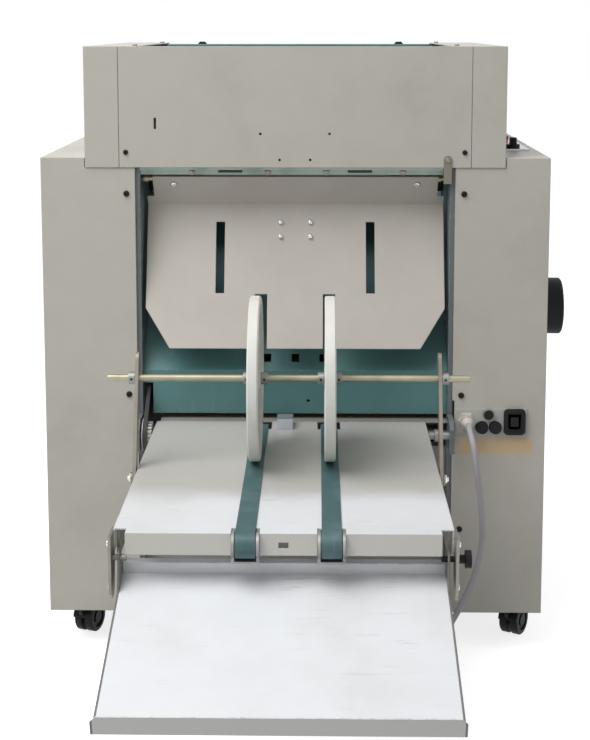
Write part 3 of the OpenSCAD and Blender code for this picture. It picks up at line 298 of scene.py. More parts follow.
def calc(tree, operation, first, second):
    node = tree.nodes.new("ShaderNodeMath")
    node.operation = operation
    feed(tree, first, node.inputs[0])
    feed(tree, second, node.inputs[1])
    return node.outputs[0]


def blend(tree, amount, under, over):
    node = tree.nodes.new("ShaderNodeMix")
    node.data_type = "RGBA"
    feed(tree, amount, node.inputs["Factor"])
    feed(tree, under, node.inputs[6])
    feed(tree, over, node.inputs[7])
    return node.outputs[2]


def sprayed_paint_effect():
    """Enamel with faint mottling, soil in soft clouds and the fine peel of a sprayed coat."""
    tree, given, out = effect(
        "sprayed_paint",
        [("Colour", COLOUR, (0.5, 0.5, 0.5, 1.0)), ("Soil Colour", COLOUR, (0.2, 0.18, 0.15, 1.0)),
         ("Soil", NUMBER, 0.2), ("Gloss", NUMBER, 0.45)],
        SURFACE,
    )
    coords = object_coords(tree)
    clouds = noise(tree, coords, 7.0, 6.0, 0.6)
    mottle = noise(tree, coords, 42.0, 3.0)
    peel = noise(tree, coords, 780.0, 2.0)
    soiled_and_shaded = calc(tree, "MULTIPLY", band(tree, clouds, 0.42, 0.78), given["Soil"])
    faint = band(tree, mottle, 0.3, 0.7, 0.0, 0.06)
    toned = blend(tree, faint, given["Colour"], given["Soil Colour"])
    tree.links.new(blend(tree, soiled_and_shaded, toned, given["Soil Colour"]), out["Colour"])
    rougher = calc(tree, "MULTIPLY", mottle, 0.14)
    tree.links.new(calc(tree, "ADD", given["Gloss"], rougher), out["Roughness"])
    tree.links.new(peel, out["Height"])
    return tree


def scuffs_effect():
    """Thin rubbed marks that lie along one direction, in scattered patches."""
    tree, given, out = effect(
        "scuffs",
        [("Amount", NUMBER, 0.5), ("Stretch", VECTOR, (8.0, 90.0, 90.0))],
        [("Mask", NUMBER)],
    )
    plain = object_coords(tree)
    streaks = noise(tree, stretched(tree, plain, given["Stretch"]), 1.0, 3.0, 0.6)
    lines = band(tree, streaks, 0.6, 0.72)
    patches = band(tree, noise(tree, plain, 6.0, 3.0), 0.46, 0.66)
    marks = calc(tree, "MULTIPLY", lines, patches)
    tree.links.new(calc(tree, "MULTIPLY", marks, given["Amount"]), out["Mask"])
    return tree


def worn_edges_effect():
    """Edges rounded over in the light, with nicks where they are knocked or rubbed bare."""
    tree, given, out = effect(
        "worn_edges",
        [("Width", NUMBER, 0.0015), ("Amount", NUMBER, 0.5)],
        [("Mask", NUMBER), ("Normal", VECTOR)],
    )
    rounded = tree.nodes.new("ShaderNodeBevel")
    rounded.samples = 4
    tree.links.new(given["Width"], rounded.inputs["Radius"])
    face = tree.nodes.new("ShaderNodeNewGeometry")
    alike = tree.nodes.new("ShaderNodeVectorMath")
    alike.operation = "DOT_PRODUCT"
    tree.links.new(rounded.outputs["Normal"], alike.inputs[0])
    tree.links.new(face.outputs["Normal"], alike.inputs[1])
    edge = band(tree, alike.outputs["Value"], 0.99, 0.9)
    nicks = band(tree, noise(tree, object_coords(tree), 95.0, 4.0, 0.65), 0.5, 0.6)
    bared = calc(tree, "MULTIPLY", edge, nicks)
    tree.links.new(calc(tree, "MULTIPLY", bared, given["Amount"]), out["Mask"])
    tree.links.new(rounded.outputs["Normal"], out["Normal"])
    return tree


def worked_metal_effect():
    """Bare or plated metal with fine tool lines and a dull, handled film."""
    tree, given, out = effect(
        "worked_metal",
        [("Colour", COLOUR, (0.6, 0.6, 0.6, 1.0)), ("Film", COLOUR, (0.3, 0.28, 0.25, 1.0)),
         ("Lines", VECTOR, (60.0, 900.0, 900.0)), ("Gloss", NUMBER, 0.3)],
        SURFACE,
    )
    plain = object_coords(tree)
    lines = noise(tree, stretched(tree, plain, given["Lines"]), 1.0, 2.0)
    film = band(tree, noise(tree, plain, 30.0, 4.0), 0.45, 0.75, 0.0, 0.45)
    tree.links.new(blend(tree, film, given["Colour"], given["Film"]), out["Colour"])
    uneven = calc(tree, "MULTIPLY", calc(tree, "ADD", lines, film), 0.16)
    tree.links.new(calc(tree, "ADD", given["Gloss"], uneven), out["Roughness"])
    tree.links.new(lines, out["Height"])
    return tree


def moulded_effect():
    """Moulded plastic or rubber: fine grain, dust in patches and a slight bloom."""
    tree, given, out = effect(
        "moulded",
        [("Colour", COLOUR, (0.1, 0.1, 0.1, 1.0)), ("Dust Colour", COLOUR, (0.3, 0.3, 0.3, 1.0)),
         ("Dust", NUMBER, 0.2), ("Gloss", NUMBER, 0.45), ("Grain", NUMBER, 1400.0)],
        SURFACE,
    )
    coords = object_coords(tree)
    patches = noise(tree, coords, 26.0, 5.0, 0.6)
    grain = tree.nodes.new("ShaderNodeTexNoise")
    tree.links.new(coords, grain.inputs["Vector"])
    tree.links.new(given["Grain"], grain.inputs["Scale"])
    dusty = calc(tree, "MULTIPLY", band(tree, patches, 0.4, 0.75), given["Dust"])
    tree.links.new(blend(tree, dusty, given["Colour"], given["Dust Colour"]), out["Colour"])
    tree.links.new(calc(tree, "ADD", given["Gloss"], calc(tree, "MULTIPLY", patches, 0.2)), out["Roughness"])
    tree.links.new(grain.outputs["Fac"], out["Height"])
    return tree


SPRAYED_PAINT = sprayed_paint_effect()
SCUFFS = scuffs_effect()
WORN_EDGES = worn_edges_effect()
WORKED_METAL = worked_metal_effect()
MOULDED = moulded_effect()


# Finishes, one for each material slot of the record

STEEL_SHOWING = srgb(196, 196, 192)
GREY_SOIL = srgb(120, 114, 102)

# In metres: the width of worn edges, the depth of surface relief and the two ends of a sharp border
PAINT_EDGE, METAL_EDGE, PLASTIC_EDGE, BELT_EDGE = 0.0014, 0.0006, 0.0008, 0.0005
PAINT_DEPTH, FINE_DEPTH = 0.0004, 0.0003
BORDER = (0.0005, 0.0002)


def new_finish(name):
    material = bpy.data.materials.new(name)
    material.use_nodes = True
    tree = material.node_tree
    return material, tree, tree.nodes["Principled BSDF"]


def place_effect(tree, group, **values):
    node = tree.nodes.new("ShaderNodeGroup")
    node.node_tree = group
    for label, value in values.items():
        feed(tree, value, node.inputs[label.replace("_", " ")])
    return node.outputs


def raise_surface(tree, shader, height, strength, depth, edges):
    bump = tree.nodes.new("ShaderNodeBump")
    tree.links.new(edges["Normal"], bump.inputs["Normal"])
    bump.inputs["Strength"].default_value = strength
    bump.inputs["Distance"].default_value = depth
    tree.links.new(height, bump.inputs["Height"])
    tree.links.new(bump.outputs["Normal"], shader.inputs["Normal"])


def paint(name, colour, soil_and_shade_colour, soil, gloss, chip_colour, chips, scuff_colour=None, scuffs=0.0,
          scuff_stretch=(8.0, 90.0, 90.0)):
    material, tree, shader = new_finish(name)
    coat = place_effect(tree, SPRAYED_PAINT, Colour=colour, Soil_Colour=soil_and_shade_colour, Soil=soil, Gloss=gloss)
    top = coat["Colour"]
    if scuff_colour:
        rubbed = place_effect(tree, SCUFFS, Amount=scuffs, Stretch=scuff_stretch)
        top = blend(tree, rubbed["Mask"], top, scuff_colour)
    edges = place_effect(tree, WORN_EDGES, Width=PAINT_EDGE, Amount=chips)
    tree.links.new(blend(tree, edges["Mask"], top, chip_colour), shader.inputs["Base Color"])
    tree.links.new(coat["Roughness"], shader.inputs["Roughness"])
    shader.inputs["Specular IOR Level"].default_value = 0.4
    raise_surface(tree, shader, coat["Height"], 0.12, PAINT_DEPTH, edges)
    return material


def coat_to_mark(name, coat_values):
    """Paint with its colour so far and the socket that the marked colour goes to."""
    material = paint(name, *coat_values)
    tree = material.node_tree
    base = tree.nodes["Principled BSDF"].inputs["Base Color"]
    return material, tree, base.links[0].from_socket, base


def taped_paint(name, low, high, gum_colour, *coat_values):
    """Painted sheet with the strip where tape once stuck, ragged at its ends."""
    fade, ragged_by, front_skin = 0.003, 0.006, (0.004, 0.003)
    material, tree, under, base = coat_to_mark(name, coat_values)
    coords = object_coords(tree)
    place = split_axes(tree, coords)
    ragged = calc(tree, "MULTIPLY", noise(tree, coords, 160.0, 3.0), ragged_by)
    inside = band(tree, place["Y"], low.y + front_skin[0], low.y + front_skin[1])
    for axis in ("X", "Z"):
        spot = calc(tree, "ADD", place[axis], ragged)
        start, end = getattr(low, axis.lower()), getattr(high, axis.lower())
        inside = calc(tree, "MULTIPLY", inside, band(tree, spot, start, start + fade))
        inside = calc(tree, "MULTIPLY", inside, band(tree, spot, end, end - fade))
    patchy = band(tree, noise(tree, coords, 60.0, 4.0), 0.3, 0.62, 0.7, 0.98)
    gummed = calc(tree, "MULTIPLY", inside, patchy)
    tree.links.new(blend(tree, gummed, under, gum_colour), base)
    return material


def tray_paint(name, middle, ear, bare_colour, tip, slope, front_face_shade_colour, *coat_values):
    """White sheet with bare ears and outer edges, and painted shade greying its lip's front face."""
    ear_border = 0.0003
    material, tree, under, base = coat_to_mark(name, coat_values)
    place = split_axes(tree, object_coords(tree))
    out = calc(tree, "ABSOLUTE", calc(tree, "SUBTRACT", place["X"], middle), 0.0)
    bare = band(tree, out, ear - ear_border, ear)
    forward, down = math.cos(slope), math.sin(slope)
    along = calc(tree, "ADD", calc(tree, "MULTIPLY", place["Y"], -forward),
                 calc(tree, "MULTIPLY", place["Z"], -down))
    lip = -tip.y * forward - tip.z * down
    # Painted shade: the lip's front face, turned down away from the overhead light, is greyed.
    front_shaded = blend(tree, band(tree, along, lip - BORDER[0], lip - BORDER[1]), under, front_face_shade_colour)
    tree.links.new(blend(tree, bare, front_shaded, bare_colour), base)
    return material


def deck_paint(name, skirt, shade_begins_at, shade_full_at, soil_and_shade_colour, front_face_shade_colour, *coat_values):
    """White sheet with painted shade: greyed towards the machine, where the head and guard shade it, and
    greyed on its front skirt.
    """
    wander_by = 0.03
    material, tree, under, base = coat_to_mark(name, coat_values)
    coords = object_coords(tree)
    place = split_axes(tree, coords)
    # Painted shade: greyer towards the machine, where the head and guard shade the deck.
    wander = calc(tree, "MULTIPLY", noise(tree, coords, 14.0, 3.0), wander_by)
    soiled_and_shaded = band(tree, calc(tree, "ADD", place["Y"], wander), shade_begins_at, shade_full_at, 0.0, 0.85)
    # Painted shade: the front skirt, a vertical face that gets less light than the deck's top, is greyed.
    on_skirt = band(tree, place["Y"], skirt + BORDER[0], skirt + BORDER[1])
    front_shaded = blend(tree, on_skirt, under, front_face_shade_colour)
    tree.links.new(blend(tree, soiled_and_shaded, front_shaded, soil_and_shade_colour), base)
    return material


def metal(name, colour, film, gloss, lines, metallic=1.0):
    material, tree, shader = new_finish(name)
    worked = place_effect(tree, WORKED_METAL, Colour=colour, Film=film, Gloss=gloss, Lines=lines)
    edges = place_effect(tree, WORN_EDGES, Width=METAL_EDGE, Amount=0.5)
    tree.links.new(blend(tree, edges["Mask"], worked["Colour"], STEEL_SHOWING), shader.inputs["Base Color"])
    tree.links.new(worked["Roughness"], shader.inputs["Roughness"])
    shader.inputs["Metallic"].default_value = metallic
    raise_surface(tree, shader, worked["Height"], 0.1, FINE_DEPTH, edges)
    return material


def plastic(name, colour, dust_colour, dust, gloss, grain=1400.0, relief=0.12, shine=0.5):
    material, tree, shader = new_finish(name)
    shader.inputs["Specular IOR Level"].default_value = shine
    skin = place_effect(
        tree, MOULDED, Colour=colour, Dust_Colour=dust_colour, Dust=dust, Gloss=gloss, Grain=grain)
    edges = place_effect(tree, WORN_EDGES, Width=PLASTIC_EDGE, Amount=0.4)
    tree.links.new(blend(tree, edges["Mask"], skin["Colour"], dust_colour), shader.inputs["Base Color"])
    tree.links.new(skin["Roughness"], shader.inputs["Roughness"])
    raise_surface(tree, shader, skin["Height"], relief, FINE_DEPTH, edges)
    return material


def woven_belt(name, colour, wear_and_sheen_colour, pitch):
    """Flat belt: a fine cross weave under a worn face, lighter in streaks that are partly wear and partly a
    painted sheen.
    """
    material, tree, shader = new_finish(name)
    skin = place_effect(tree, MOULDED, Colour=colour, Dust_Colour=wear_and_sheen_colour, Dust=0.45, Gloss=0.32)
    weave = tree.nodes.new("ShaderNodeTexWave")
    weave.bands_direction = "Y"
    weave.inputs["Scale"].default_value = pitch
    weave.inputs["Distortion"].default_value = 0.4
    tree.links.new(object_coords(tree), weave.inputs["Vector"])
    # Lighter streaks along the belt: partly wear, partly painted sheen.
    worn = place_effect(tree, SCUFFS, Amount=0.5, Stretch=(300.0, 9.0, 9.0))
    tree.links.new(blend(tree, worn["Mask"], skin["Colour"], wear_and_sheen_colour), shader.inputs["Base Color"])
    tree.links.new(skin["Roughness"], shader.inputs["Roughness"])
    edges = place_effect(tree, WORN_EDGES, Width=BELT_EDGE, Amount=0.0)
    raise_surface(tree, shader, weave.outputs["Fac"], 0.15, FINE_DEPTH, edges)
    return material


BEIGE_COAT = (srgb(194, 190, 181), srgb(154, 147, 135), 0.32, 0.34, srgb(150, 146, 138), 0.35)
WHITE_COAT = (srgb(231, 233, 236), srgb(190, 186, 178), 0.3, 0.26, srgb(72, 70, 64), 0.75,
              srgb(140, 138, 138), 0.35, (14.0, 160.0, 160.0))
POCKET_TOP = (357.6, 777.6)
TRAY_SLOPE, TRAY_TIP, TRAY_REAR = math.radians(17.4), (-615.1, 207.3), (-392.15, 258.4)
TRAY_EAR = 0.1636

# How close a metal's tool lines lie, by X, Y and Z
ALONG_X, FINE_ALONG_X = (90.0, 900.0, 900.0), (90.0, 1100.0, 1100.0)
ALONG_Y = (900.0, 90.0, 900.0)

FINISH_TABLE = [
    (paint, "beige_paint", *BEIGE_COAT),
    (paint, "grey_paint", srgb(150, 148, 140), GREY_SOIL, 0.35, 0.45, STEEL_SHOWING, 0.3),
    (paint, "cream_paint", srgb(200, 194, 186), srgb(162, 153, 142), 0.22, 0.36, srgb(170, 162, 150), 0.3),
    (paint, "white_paint", *WHITE_COAT),
    (paint, "teal_paint", srgb(90, 134, 134), srgb(64, 98, 100), 0.4, 0.38, srgb(206, 208, 202), 0.8,
     srgb(168, 192, 188), 0.4, (60.0, 60.0, 9.0)),
    # Side frames' grey paint, darkened part way as painted shade for the frames' place deep in the throat.
    (paint, "slate_paint", srgb(104, 111, 113), srgb(84, 86, 85), 0.4, 0.42, srgb(206, 208, 202), 0.7),
    (paint, "black_paint", srgb(38, 38, 40), srgb(70, 68, 64), 0.35, 0.4, srgb(120, 118, 114), 0.5),
    (metal, "bright_steel", srgb(206, 206, 204), srgb(138, 134, 128), 0.22, FINE_ALONG_X),
    (metal, "aged_zinc", srgb(144, 140, 131), srgb(106, 99, 88), 0.4, ALONG_X, 0.7),
    (metal, "yellow_zinc", srgb(166, 161, 138), srgb(128, 121, 100), 0.36, FINE_ALONG_X, 0.7),
    (metal, "panel_aluminium", srgb(206, 208, 210), srgb(160, 160, 160), 0.32, (1000.0, 60.0, 1000.0)),
    (plastic, "black_plastic", srgb(20, 21, 23), srgb(46, 45, 45), 0.3, 0.42, 1400.0, 0.12, 0.2),
    (plastic, "white_plastic", srgb(226, 226, 220), srgb(198, 192, 176), 0.4, 0.4, 900.0, 0.06),
    (plastic, "cream_plastic", srgb(212, 202, 193), srgb(168, 158, 148), 0.35, 0.38),
    (plastic, "red_plastic", srgb(186, 44, 38), srgb(140, 60, 52), 0.3, 0.3),
    (woven_belt, "belt_rubber", srgb(62, 94, 96), srgb(112, 138, 142), 260.0),
    (plastic, "drive_rubber", srgb(30, 30, 31), srgb(76, 74, 70), 0.4, 0.55),
    (plastic, "cord_rubber", srgb(176, 173, 178), srgb(138, 134, 135), 0.35, 0.46, 1800.0),
]
finishes = {name: make(name, *values) for make, name, *values in FINISH_TABLE}

# Nodes whose finish differs from the rest of their slot: by their own wear, and on the tray, the deck and the
# sensor cover also by painted shade and a painted reflection
own_finishes = {
    "right_side_cover": taped_paint(
        "beige_paint_taped", at(210, 0, 266), at(307, 0, 289), srgb(206, 180, 140), *BEIGE_COAT),
    "power_plate": paint(
        "plate_grey_paint", srgb(186, 188, 182), srgb(132, 132, 126), 0.35, 0.4, STEEL_SHOWING, 0.6),
    # The tray's finish carries painted shade on its lip's front face.
    "tray": tray_paint(
        "white_paint_tray", at(-5, 0, 0).x, TRAY_EAR, srgb(120, 118, 112),
        at(0, *TRAY_TIP), TRAY_SLOPE, srgb(208, 208, 204), *WHITE_COAT),
    # The deck's finish carries painted shade towards the machine and on its front skirt.
    "conveyor_deck": deck_paint(
        "white_paint_deck", at(0, -421, 0).y, at(0, -318, 0).y, at(0, -250, 0).y,
        srgb(184, 181, 175), srgb(208, 206, 199), *WHITE_COAT),
    "roller_brackets": metal("dull_bracket", srgb(160, 161, 160), srgb(118, 117, 114), 0.4, ALONG_Y, 0.6),
    "head_cross_plate": metal(
        "rubbed_teal", srgb(152, 167, 157), srgb(80, 100, 95), 0.24, (9.0, 90.0, 400.0), 0.35),
    "fold_knife": metal("oiled_knife", srgb(72, 74, 73), srgb(56, 55, 52), 0.5, ALONG_X, 0.4),
    "hinge_strap": metal("dark_strap", srgb(124, 119, 106), srgb(96, 91, 80), 0.42, (90.0, 900.0, 90.0), 0.5),
    "rod_collars": metal("dull_collar", srgb(150, 151, 148), srgb(108, 107, 104), 0.4, ALONG_X, 0.6),
    "conveyor_shaft": metal("dull_shaft", srgb(150, 150, 146), srgb(104, 102, 98), 0.4, ALONG_X, 0.6),
    "conveyor_pulley": metal(
        "dull_pulley", srgb(172, 172, 170), srgb(136, 134, 130), 0.48, (900.0, 90.0, 90.0), 0.25),
    # Blue-grey and darker than bare metal: partly the cover's own colour, partly a painted reflection of the
    # teal plates around it.
    "sensor_cover": metal("cover_painted_reflection", srgb(152, 160, 165), srgb(120, 124, 126), 0.42, ALONG_Y, 0.6),
    "mains_plug": plastic("plug_rubber", srgb(160, 158, 162), srgb(138, 134, 135), 0.35, 0.46, 1800.0),
}

for part in frame["record"]["subparts"]:
    node = cad[part["node"]]
    for slot in node.material_slots:
        slot.material = own_finishes.get(part["node"], finishes[part["material_slot"]])
cord_lead.data.materials.append(finishes["cord_rubber"])


# Small fittings, modelled once and set in their places

def clear_selection():
    bpy.ops.object.select_all(action="DESELECT")


def select_none(kind):
    bpy.ops.object.mode_set(mode="EDIT")
    bpy.ops.mesh.select_mode(type=kind)
    bpy.ops.mesh.select_all(action="DESELECT")
    bpy.ops.object.mode_set(mode="OBJECT")


def pick_faces(piece, chosen):
    """Goes into edit mode with only the faces selected whose normal passes the test."""
    select_none("FACE")
    for face in piece.data.polygons:
        face.select = chosen(face.normal)
    bpy.ops.object.mode_set(mode="EDIT")


def pick_edges(piece, chosen):
    """Goes into edit mode with only the edges selected whose two ends pass the test."""
    select_none("EDGE")
    points = piece.data.vertices
    for edge in piece.data.edges:
        edge.select = chosen(*(points[index].co for index in edge.vertices))
    bpy.ops.object.mode_set(mode="EDIT")


def faces_up(normal):
    return normal.z > 0.9


def round_top(piece, width, segments):
    """Goes into edit mode and rounds the edge round the top."""
    pick_faces(piece, faces_up)
    bpy.ops.mesh.bevel(offset=width * MM, segments=segments, affect="EDGES")


def end_edit(angle=40.0):
    bpy.ops.object.mode_set(mode="OBJECT")
    bpy.ops.object.shade_smooth_by_angle(angle=math.radians(angle))


def upright_drum(name, diameter, height, sides):
    clear_selection()
    bpy.ops.mesh.primitive_cylinder_add(
        vertices=sides, radius=diameter / 2 * MM, depth=height * MM, location=(0, 0, height / 2 * MM))
    drum = bpy.context.object
    drum.name = name
    bpy.ops.object.transform_apply(location=True)
    return drum


def upright_block(name, width, depth, height, x=0.0):
    clear_selection()
    bpy.ops.mesh.primitive_cube_add(size=1.0, location=(x * MM, 0, height / 2 * MM))
    block = bpy.context.object
    block.name = name
    block.scale = (width * MM, depth * MM, height * MM)
    bpy.ops.object.transform_apply(location=True, scale=True)
    return block


def round_screw(name, diameter, height, crown, socket):
    """Round-headed screw standing on Z 0: crowned head with a recess for its driver."""
    taper, recess = 0.1, height * 0.45
    screw = upright_drum(name, diameter, height, 24)
    round_top(screw, crown, 4)
    pick_faces(screw, lambda normal: normal.z > 0.999)
    bpy.ops.mesh.inset(thickness=(diameter / 2 - crown - socket / 2) * MM, depth=0.0)
    bpy.ops.mesh.inset(thickness=taper * MM, depth=-recess * MM)
    end_edit()
    return screw


def hex_nut(name, across, height, washer_d, stud_d):
    """Nut on its washer with the stud's rounded end showing."""
    washer_t, stud_out = 1.0, 2.0
    nut = upright_drum(name, across / math.cos(math.pi / 6), height, 6)
    round_top(nut, 0.6, 2)
    end_edit(30.0)
    washer = upright_drum(name + "_washer", washer_d, washer_t, 32)
    round_top(washer, 0.25, 2)
    end_edit()
    stud = upright_drum(name + "_stud", stud_d, height + stud_out, 20)
    round_top(stud, stud_d * 0.2, 3)
    end_edit()
    return joined(name, [nut, washer, stud])


def open_through(piece, rim):
    """Cuts a standing plate or drum through from end to end, leaving a rim of that width."""
    pick_faces(piece, lambda normal: abs(normal.z) > 0.999)
    bpy.ops.mesh.inset(thickness=rim * MM, depth=0.0)
    bpy.ops.mesh.bridge_edge_loops()
    bpy.ops.mesh.select_all(action="SELECT")
    bpy.ops.mesh.normals_make_consistent(inside=False)
    bpy.ops.object.mode_set(mode="OBJECT")


def soften(piece, width, angle=40.0):
    """Rounds every sharp edge by a small width."""
    clear_selection()
    piece.select_set(True)
    bpy.context.view_layer.objects.active = piece
    rounding = piece.modifiers.new("rounding", "BEVEL")
    rounding.width = width * MM
    rounding.segments = 2
    rounding.limit_method = "ANGLE"
    rounding.angle_limit = math.radians(angle)
    bpy.ops.object.modifier_apply(modifier=rounding.name)
    bpy.ops.object.shade_smooth_by_angle(angle=math.radians(50.0))


def thicken(piece, sheet):
    """Gives the active sheet its thickness, on its outer side."""
    wall = piece.modifiers.new("sheet_thickness", "SOLIDIFY")
    wall.thickness = sheet * MM
    wall.offset = 1.0
    bpy.ops.object.modifier_apply(modifier=wall.name)


def round_bush(name, outer, inner, height):
    bush = upright_drum(name, outer, height, 40)
    open_through(bush, (outer - inner) / 2)
    soften(bush, 0.4)
    return bush


def blind_cup(name, outer, height, wall):
    """Cup standing on Z 0, open at its top down to a thin floor."""
    taper, floor = 0.02, 0.4
    cup = upright_drum(name, outer, height, 20)
    pick_faces(cup, faces_up)
    bpy.ops.mesh.inset(thickness=wall * MM, depth=0.0)
    bpy.ops.mesh.inset(thickness=taper * MM, depth=-(height - floor) * MM)
    end_edit()
    return cup


def knurled_ring(name, outer, inner, height):
    land, groove = 0.18, 0.3
    ring = upright_drum(name, outer, height, 40)
    pick_faces(ring, lambda normal: abs(normal.z) < 0.1)
    bpy.ops.mesh.inset(thickness=land * MM, depth=-groove * MM, use_individual=True)
    bpy.ops.object.mode_set(mode="OBJECT")
    open_through(ring, (outer - 2 * groove - inner) / 2)
    end_edit(25.0)
    return ring


def rounded_surround(name, width, height, depth, corner, rim):
    """Upright plate with round corners, open in the middle, lying in XY from Z 0."""
    surround = upright_block(name, width, height, depth)
    pick_edges(surround, lambda first, second: abs(first.z - second.z) > depth / 2 * MM)
    bpy.ops.mesh.bevel(offset=corner * MM, segments=5, affect="EDGES")
    bpy.ops.object.mode_set(mode="OBJECT")
    open_through(surround, rim)
    soften(surround, 0.7)
    return surround


def moulded_block(name, size, rounding, panel_in, panel_depth):
    """Block standing on Z 0 with rounded edges and a panel let into its top."""
    taper = 0.3
    block = upright_block(name, *size)
    pick_faces(block, faces_up)
    bpy.ops.mesh.inset(thickness=panel_in * MM, depth=0.0)
    bpy.ops.mesh.inset(thickness=taper * MM, depth=-panel_depth * MM)
    bpy.ops.object.mode_set(mode="OBJECT")
    soften(block, rounding)
    return block


def joined(name, pieces):
    clear_selection()
    for piece in pieces:
        piece.select_set(True)
    bpy.context.view_layer.objects.active = pieces[0]
    if len(pieces) > 1:
        bpy.ops.object.join()
    pieces[0].name = name
    return pieces[0]


def dress(piece, body, finish):
    piece.data.materials.clear()
    piece.data.materials.append(finishes[finish])
    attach(piece, body)


used_patterns = []


def fit_set(name, pattern, seats, body, finish):
    """Copies a pattern to its seats, each a place and the way that it faces, as one piece."""
    if pattern not in used_patterns:
        used_patterns.append(pattern)
    copies = []
    for place, way in seats:
        copy = pattern.copy()
        copy.data = pattern.data.copy()
        turn = Vector(way).to_track_quat("Z", "Y").to_matrix().to_4x4()
        copy.data.transform(Matrix.Translation(at(*place)) @ turn)
        scene.collection.objects.link(copy)
        copies.append(copy)
    dress(joined(name, copies), body, finish)


def facing(way, places):
    return [(place, way) for place in places]


FRONT = (0.0, -1.0, 0.0)
REAR = (0.0, 1.0, 0.0)
UP = (0.0, 0.0, 1.0)
RIGHT = (1.0, 0.0, 0.0)
BOTH_SIDES = (-1, 1)

PANEL_Y = -1.5
COVER_SCREW_X = 211.0
COVER_SCREW_Z = (598.0, 341.0, 165.0)
PANEL_SCREW_Z = 650.0
REAR_Y = 434.0
REAR_SCREW_X = 190.0
REAR_SCREW_Z = (110.0, 350.0, 590.0)
CAP_TOP = 781.0
CAP_SCREW_X = 205.0
CAP_SCREW_Y = (60.0, 395.0)
LIP_Y = 6.0
LIP_BOLT_X = (-129.0, -34.0, 39.0, 135.0)
LIP_BOLT_Z = 625.0

cover_screw = round_screw("cover_screw", diameter=7.6, height=2.4, crown=1.3, socket=2.6)
panel_screw = round_screw("panel_screw", diameter=6.4, height=2.0, crown=1.1, socket=2.2)
acorn_screw = round_screw("acorn_screw", diameter=6.6, height=4.2, crown=2.4, socket=1.2)
pan_screw = round_screw("pan_screw", diameter=8.6, height=3.0, crown=1.6, socket=2.6)
lip_bolt = hex_nut("lip_bolt", across=6.0, height=3.0, washer_d=8.4, stud_d=3.4)
pivot_nut = hex_nut("pivot_nut", across=9.0, height=4.0, washer_d=13.0, stud_d=5.4)

fit_set("cover_screws", cover_screw,
        facing(FRONT, [(side * COVER_SCREW_X, 0.0, z) for side in BOTH_SIDES for z in COVER_SCREW_Z]),
        "frame", "black_plastic")
fit_set("panel_screws", panel_screw,
        facing(FRONT, [(side * COVER_SCREW_X, PANEL_Y, PANEL_SCREW_Z) for side in BOTH_SIDES]),
        "frame", "black_plastic")
fit_set("rear_cover_screws", cover_screw,
        facing(REAR, [(side * REAR_SCREW_X, REAR_Y, z) for side in BOTH_SIDES for z in REAR_SCREW_Z]),
        "frame", "black_plastic")
fit_set("cap_top_screws", panel_screw,
        facing(UP, [(side * CAP_SCREW_X, y, CAP_TOP) for side in BOTH_SIDES for y in CAP_SCREW_Y]),
        "frame", "aged_zinc")
fit_set("lip_bolts", lip_bolt, facing(FRONT, [(x, LIP_Y, LIP_BOLT_Z) for x in LIP_BOLT_X]),
        "frame", "aged_zinc")

# Black cups wholly behind the head's accessory holes, so that the holes stay open and look dark as painted
# shade, and black blocks on the lip under the head as painted shade for its dark slots
HEAD_Z = 631.0
ACCESSORY_HOLES = [(side * x, HEAD_Z + up) for side in BOTH_SIDES for x, up in ((43.0, 42.0), (19.0, 9.6))]
HOLE_CUP_Y = 6.05
LIP_SHADE_X = 81.0
LIP_SHADE_DROP = 4.9

hole_shade_cup = blind_cup("hole_shade_cup_pattern", outer=5.0, height=6.0, wall=0.9)
lip_shade_block = moulded_block("lip_shade_block_pattern", (30.0, 3.4, 4.0), rounding=0.5, panel_in=0.8, panel_depth=0.3)
fit_set("accessory_hole_shade_cups", hole_shade_cup, facing(FRONT, [(x, HOLE_CUP_Y, z) for x, z in ACCESSORY_HOLES]),
        "frame", "black_paint")
# Black blocks on the lip's front, painted shade for the dark slots there.
fit_set("lip_shade_blocks", lip_shade_block,
        facing(FRONT, [(side * LIP_SHADE_X, LIP_Y, HEAD_Z - LIP_SHADE_DROP) for side in BOTH_SIDES]),
        "frame", "black_paint")

# The guard's flange runs from its top edge to the fold, and its face from the fold to the toe
FLANGE_TOP, FOLD, TOE = Vector((16.13, 618.69)), Vector((48.0, 580.0)), Vector((-11.0, 403.0))
SHEET = 1.5
ACORN_X, ACORN_Z = 19.0, (556.5, 539.0)
FLANGE_SCREW_X, FLANGE_SCREW_Z = 153.6, 609.0
STRAP_SCREW = (190.0, -3.5, 641.0)


def guard_seats(start, end, spots):
    """Seats on the front of the guard's sheet, at each X and height, on the line from start to end."""
    along = (end - start).normalized()
    outward = Vector((along.y, -along.x))
    seats = []
    for x, z in spots:
        spot = start + along * ((z - start.y) / along.y) + outward * SHEET
        seats.append(((x, spot.x, spot.y), (0.0, outward.x, outward.y)))
    return seats


fit_set("guard_acorn_screws", acorn_screw,
        guard_seats(FOLD, TOE, [(side * ACORN_X, z) for side in BOTH_SIDES for z in ACORN_Z]),
        "guard", "bright_steel")
fit_set("guard_flange_screws", pan_screw,
        guard_seats(FLANGE_TOP, FOLD, [(side * FLANGE_SCREW_X, FLANGE_SCREW_Z) for side in BOTH_SIDES]),
        "guard", "bright_steel")
fit_set("strap_screw", panel_screw, facing(FRONT, [STRAP_SCREW]), "frame", "aged_zinc")

CONVEYOR_MID = -5.0
BRACKET_OUT = 174.0
BRACKET_SCREWS = ((-404.0, 296.0), (-422.0, 296.0), (-414.0, 249.0))
ARM_OUT = 176.5
ARM_NUT_GAP = 0.4
ARM_PIVOT = (-205.0, 295.0)


def conveyor_seats(out, spots):
    """Seats that face outwards on both sides of the conveyor."""
    return [((CONVEYOR_MID + side * out, y, z), (float(side), 0.0, 0.0))
            for side in BOTH_SIDES for y, z in spots]


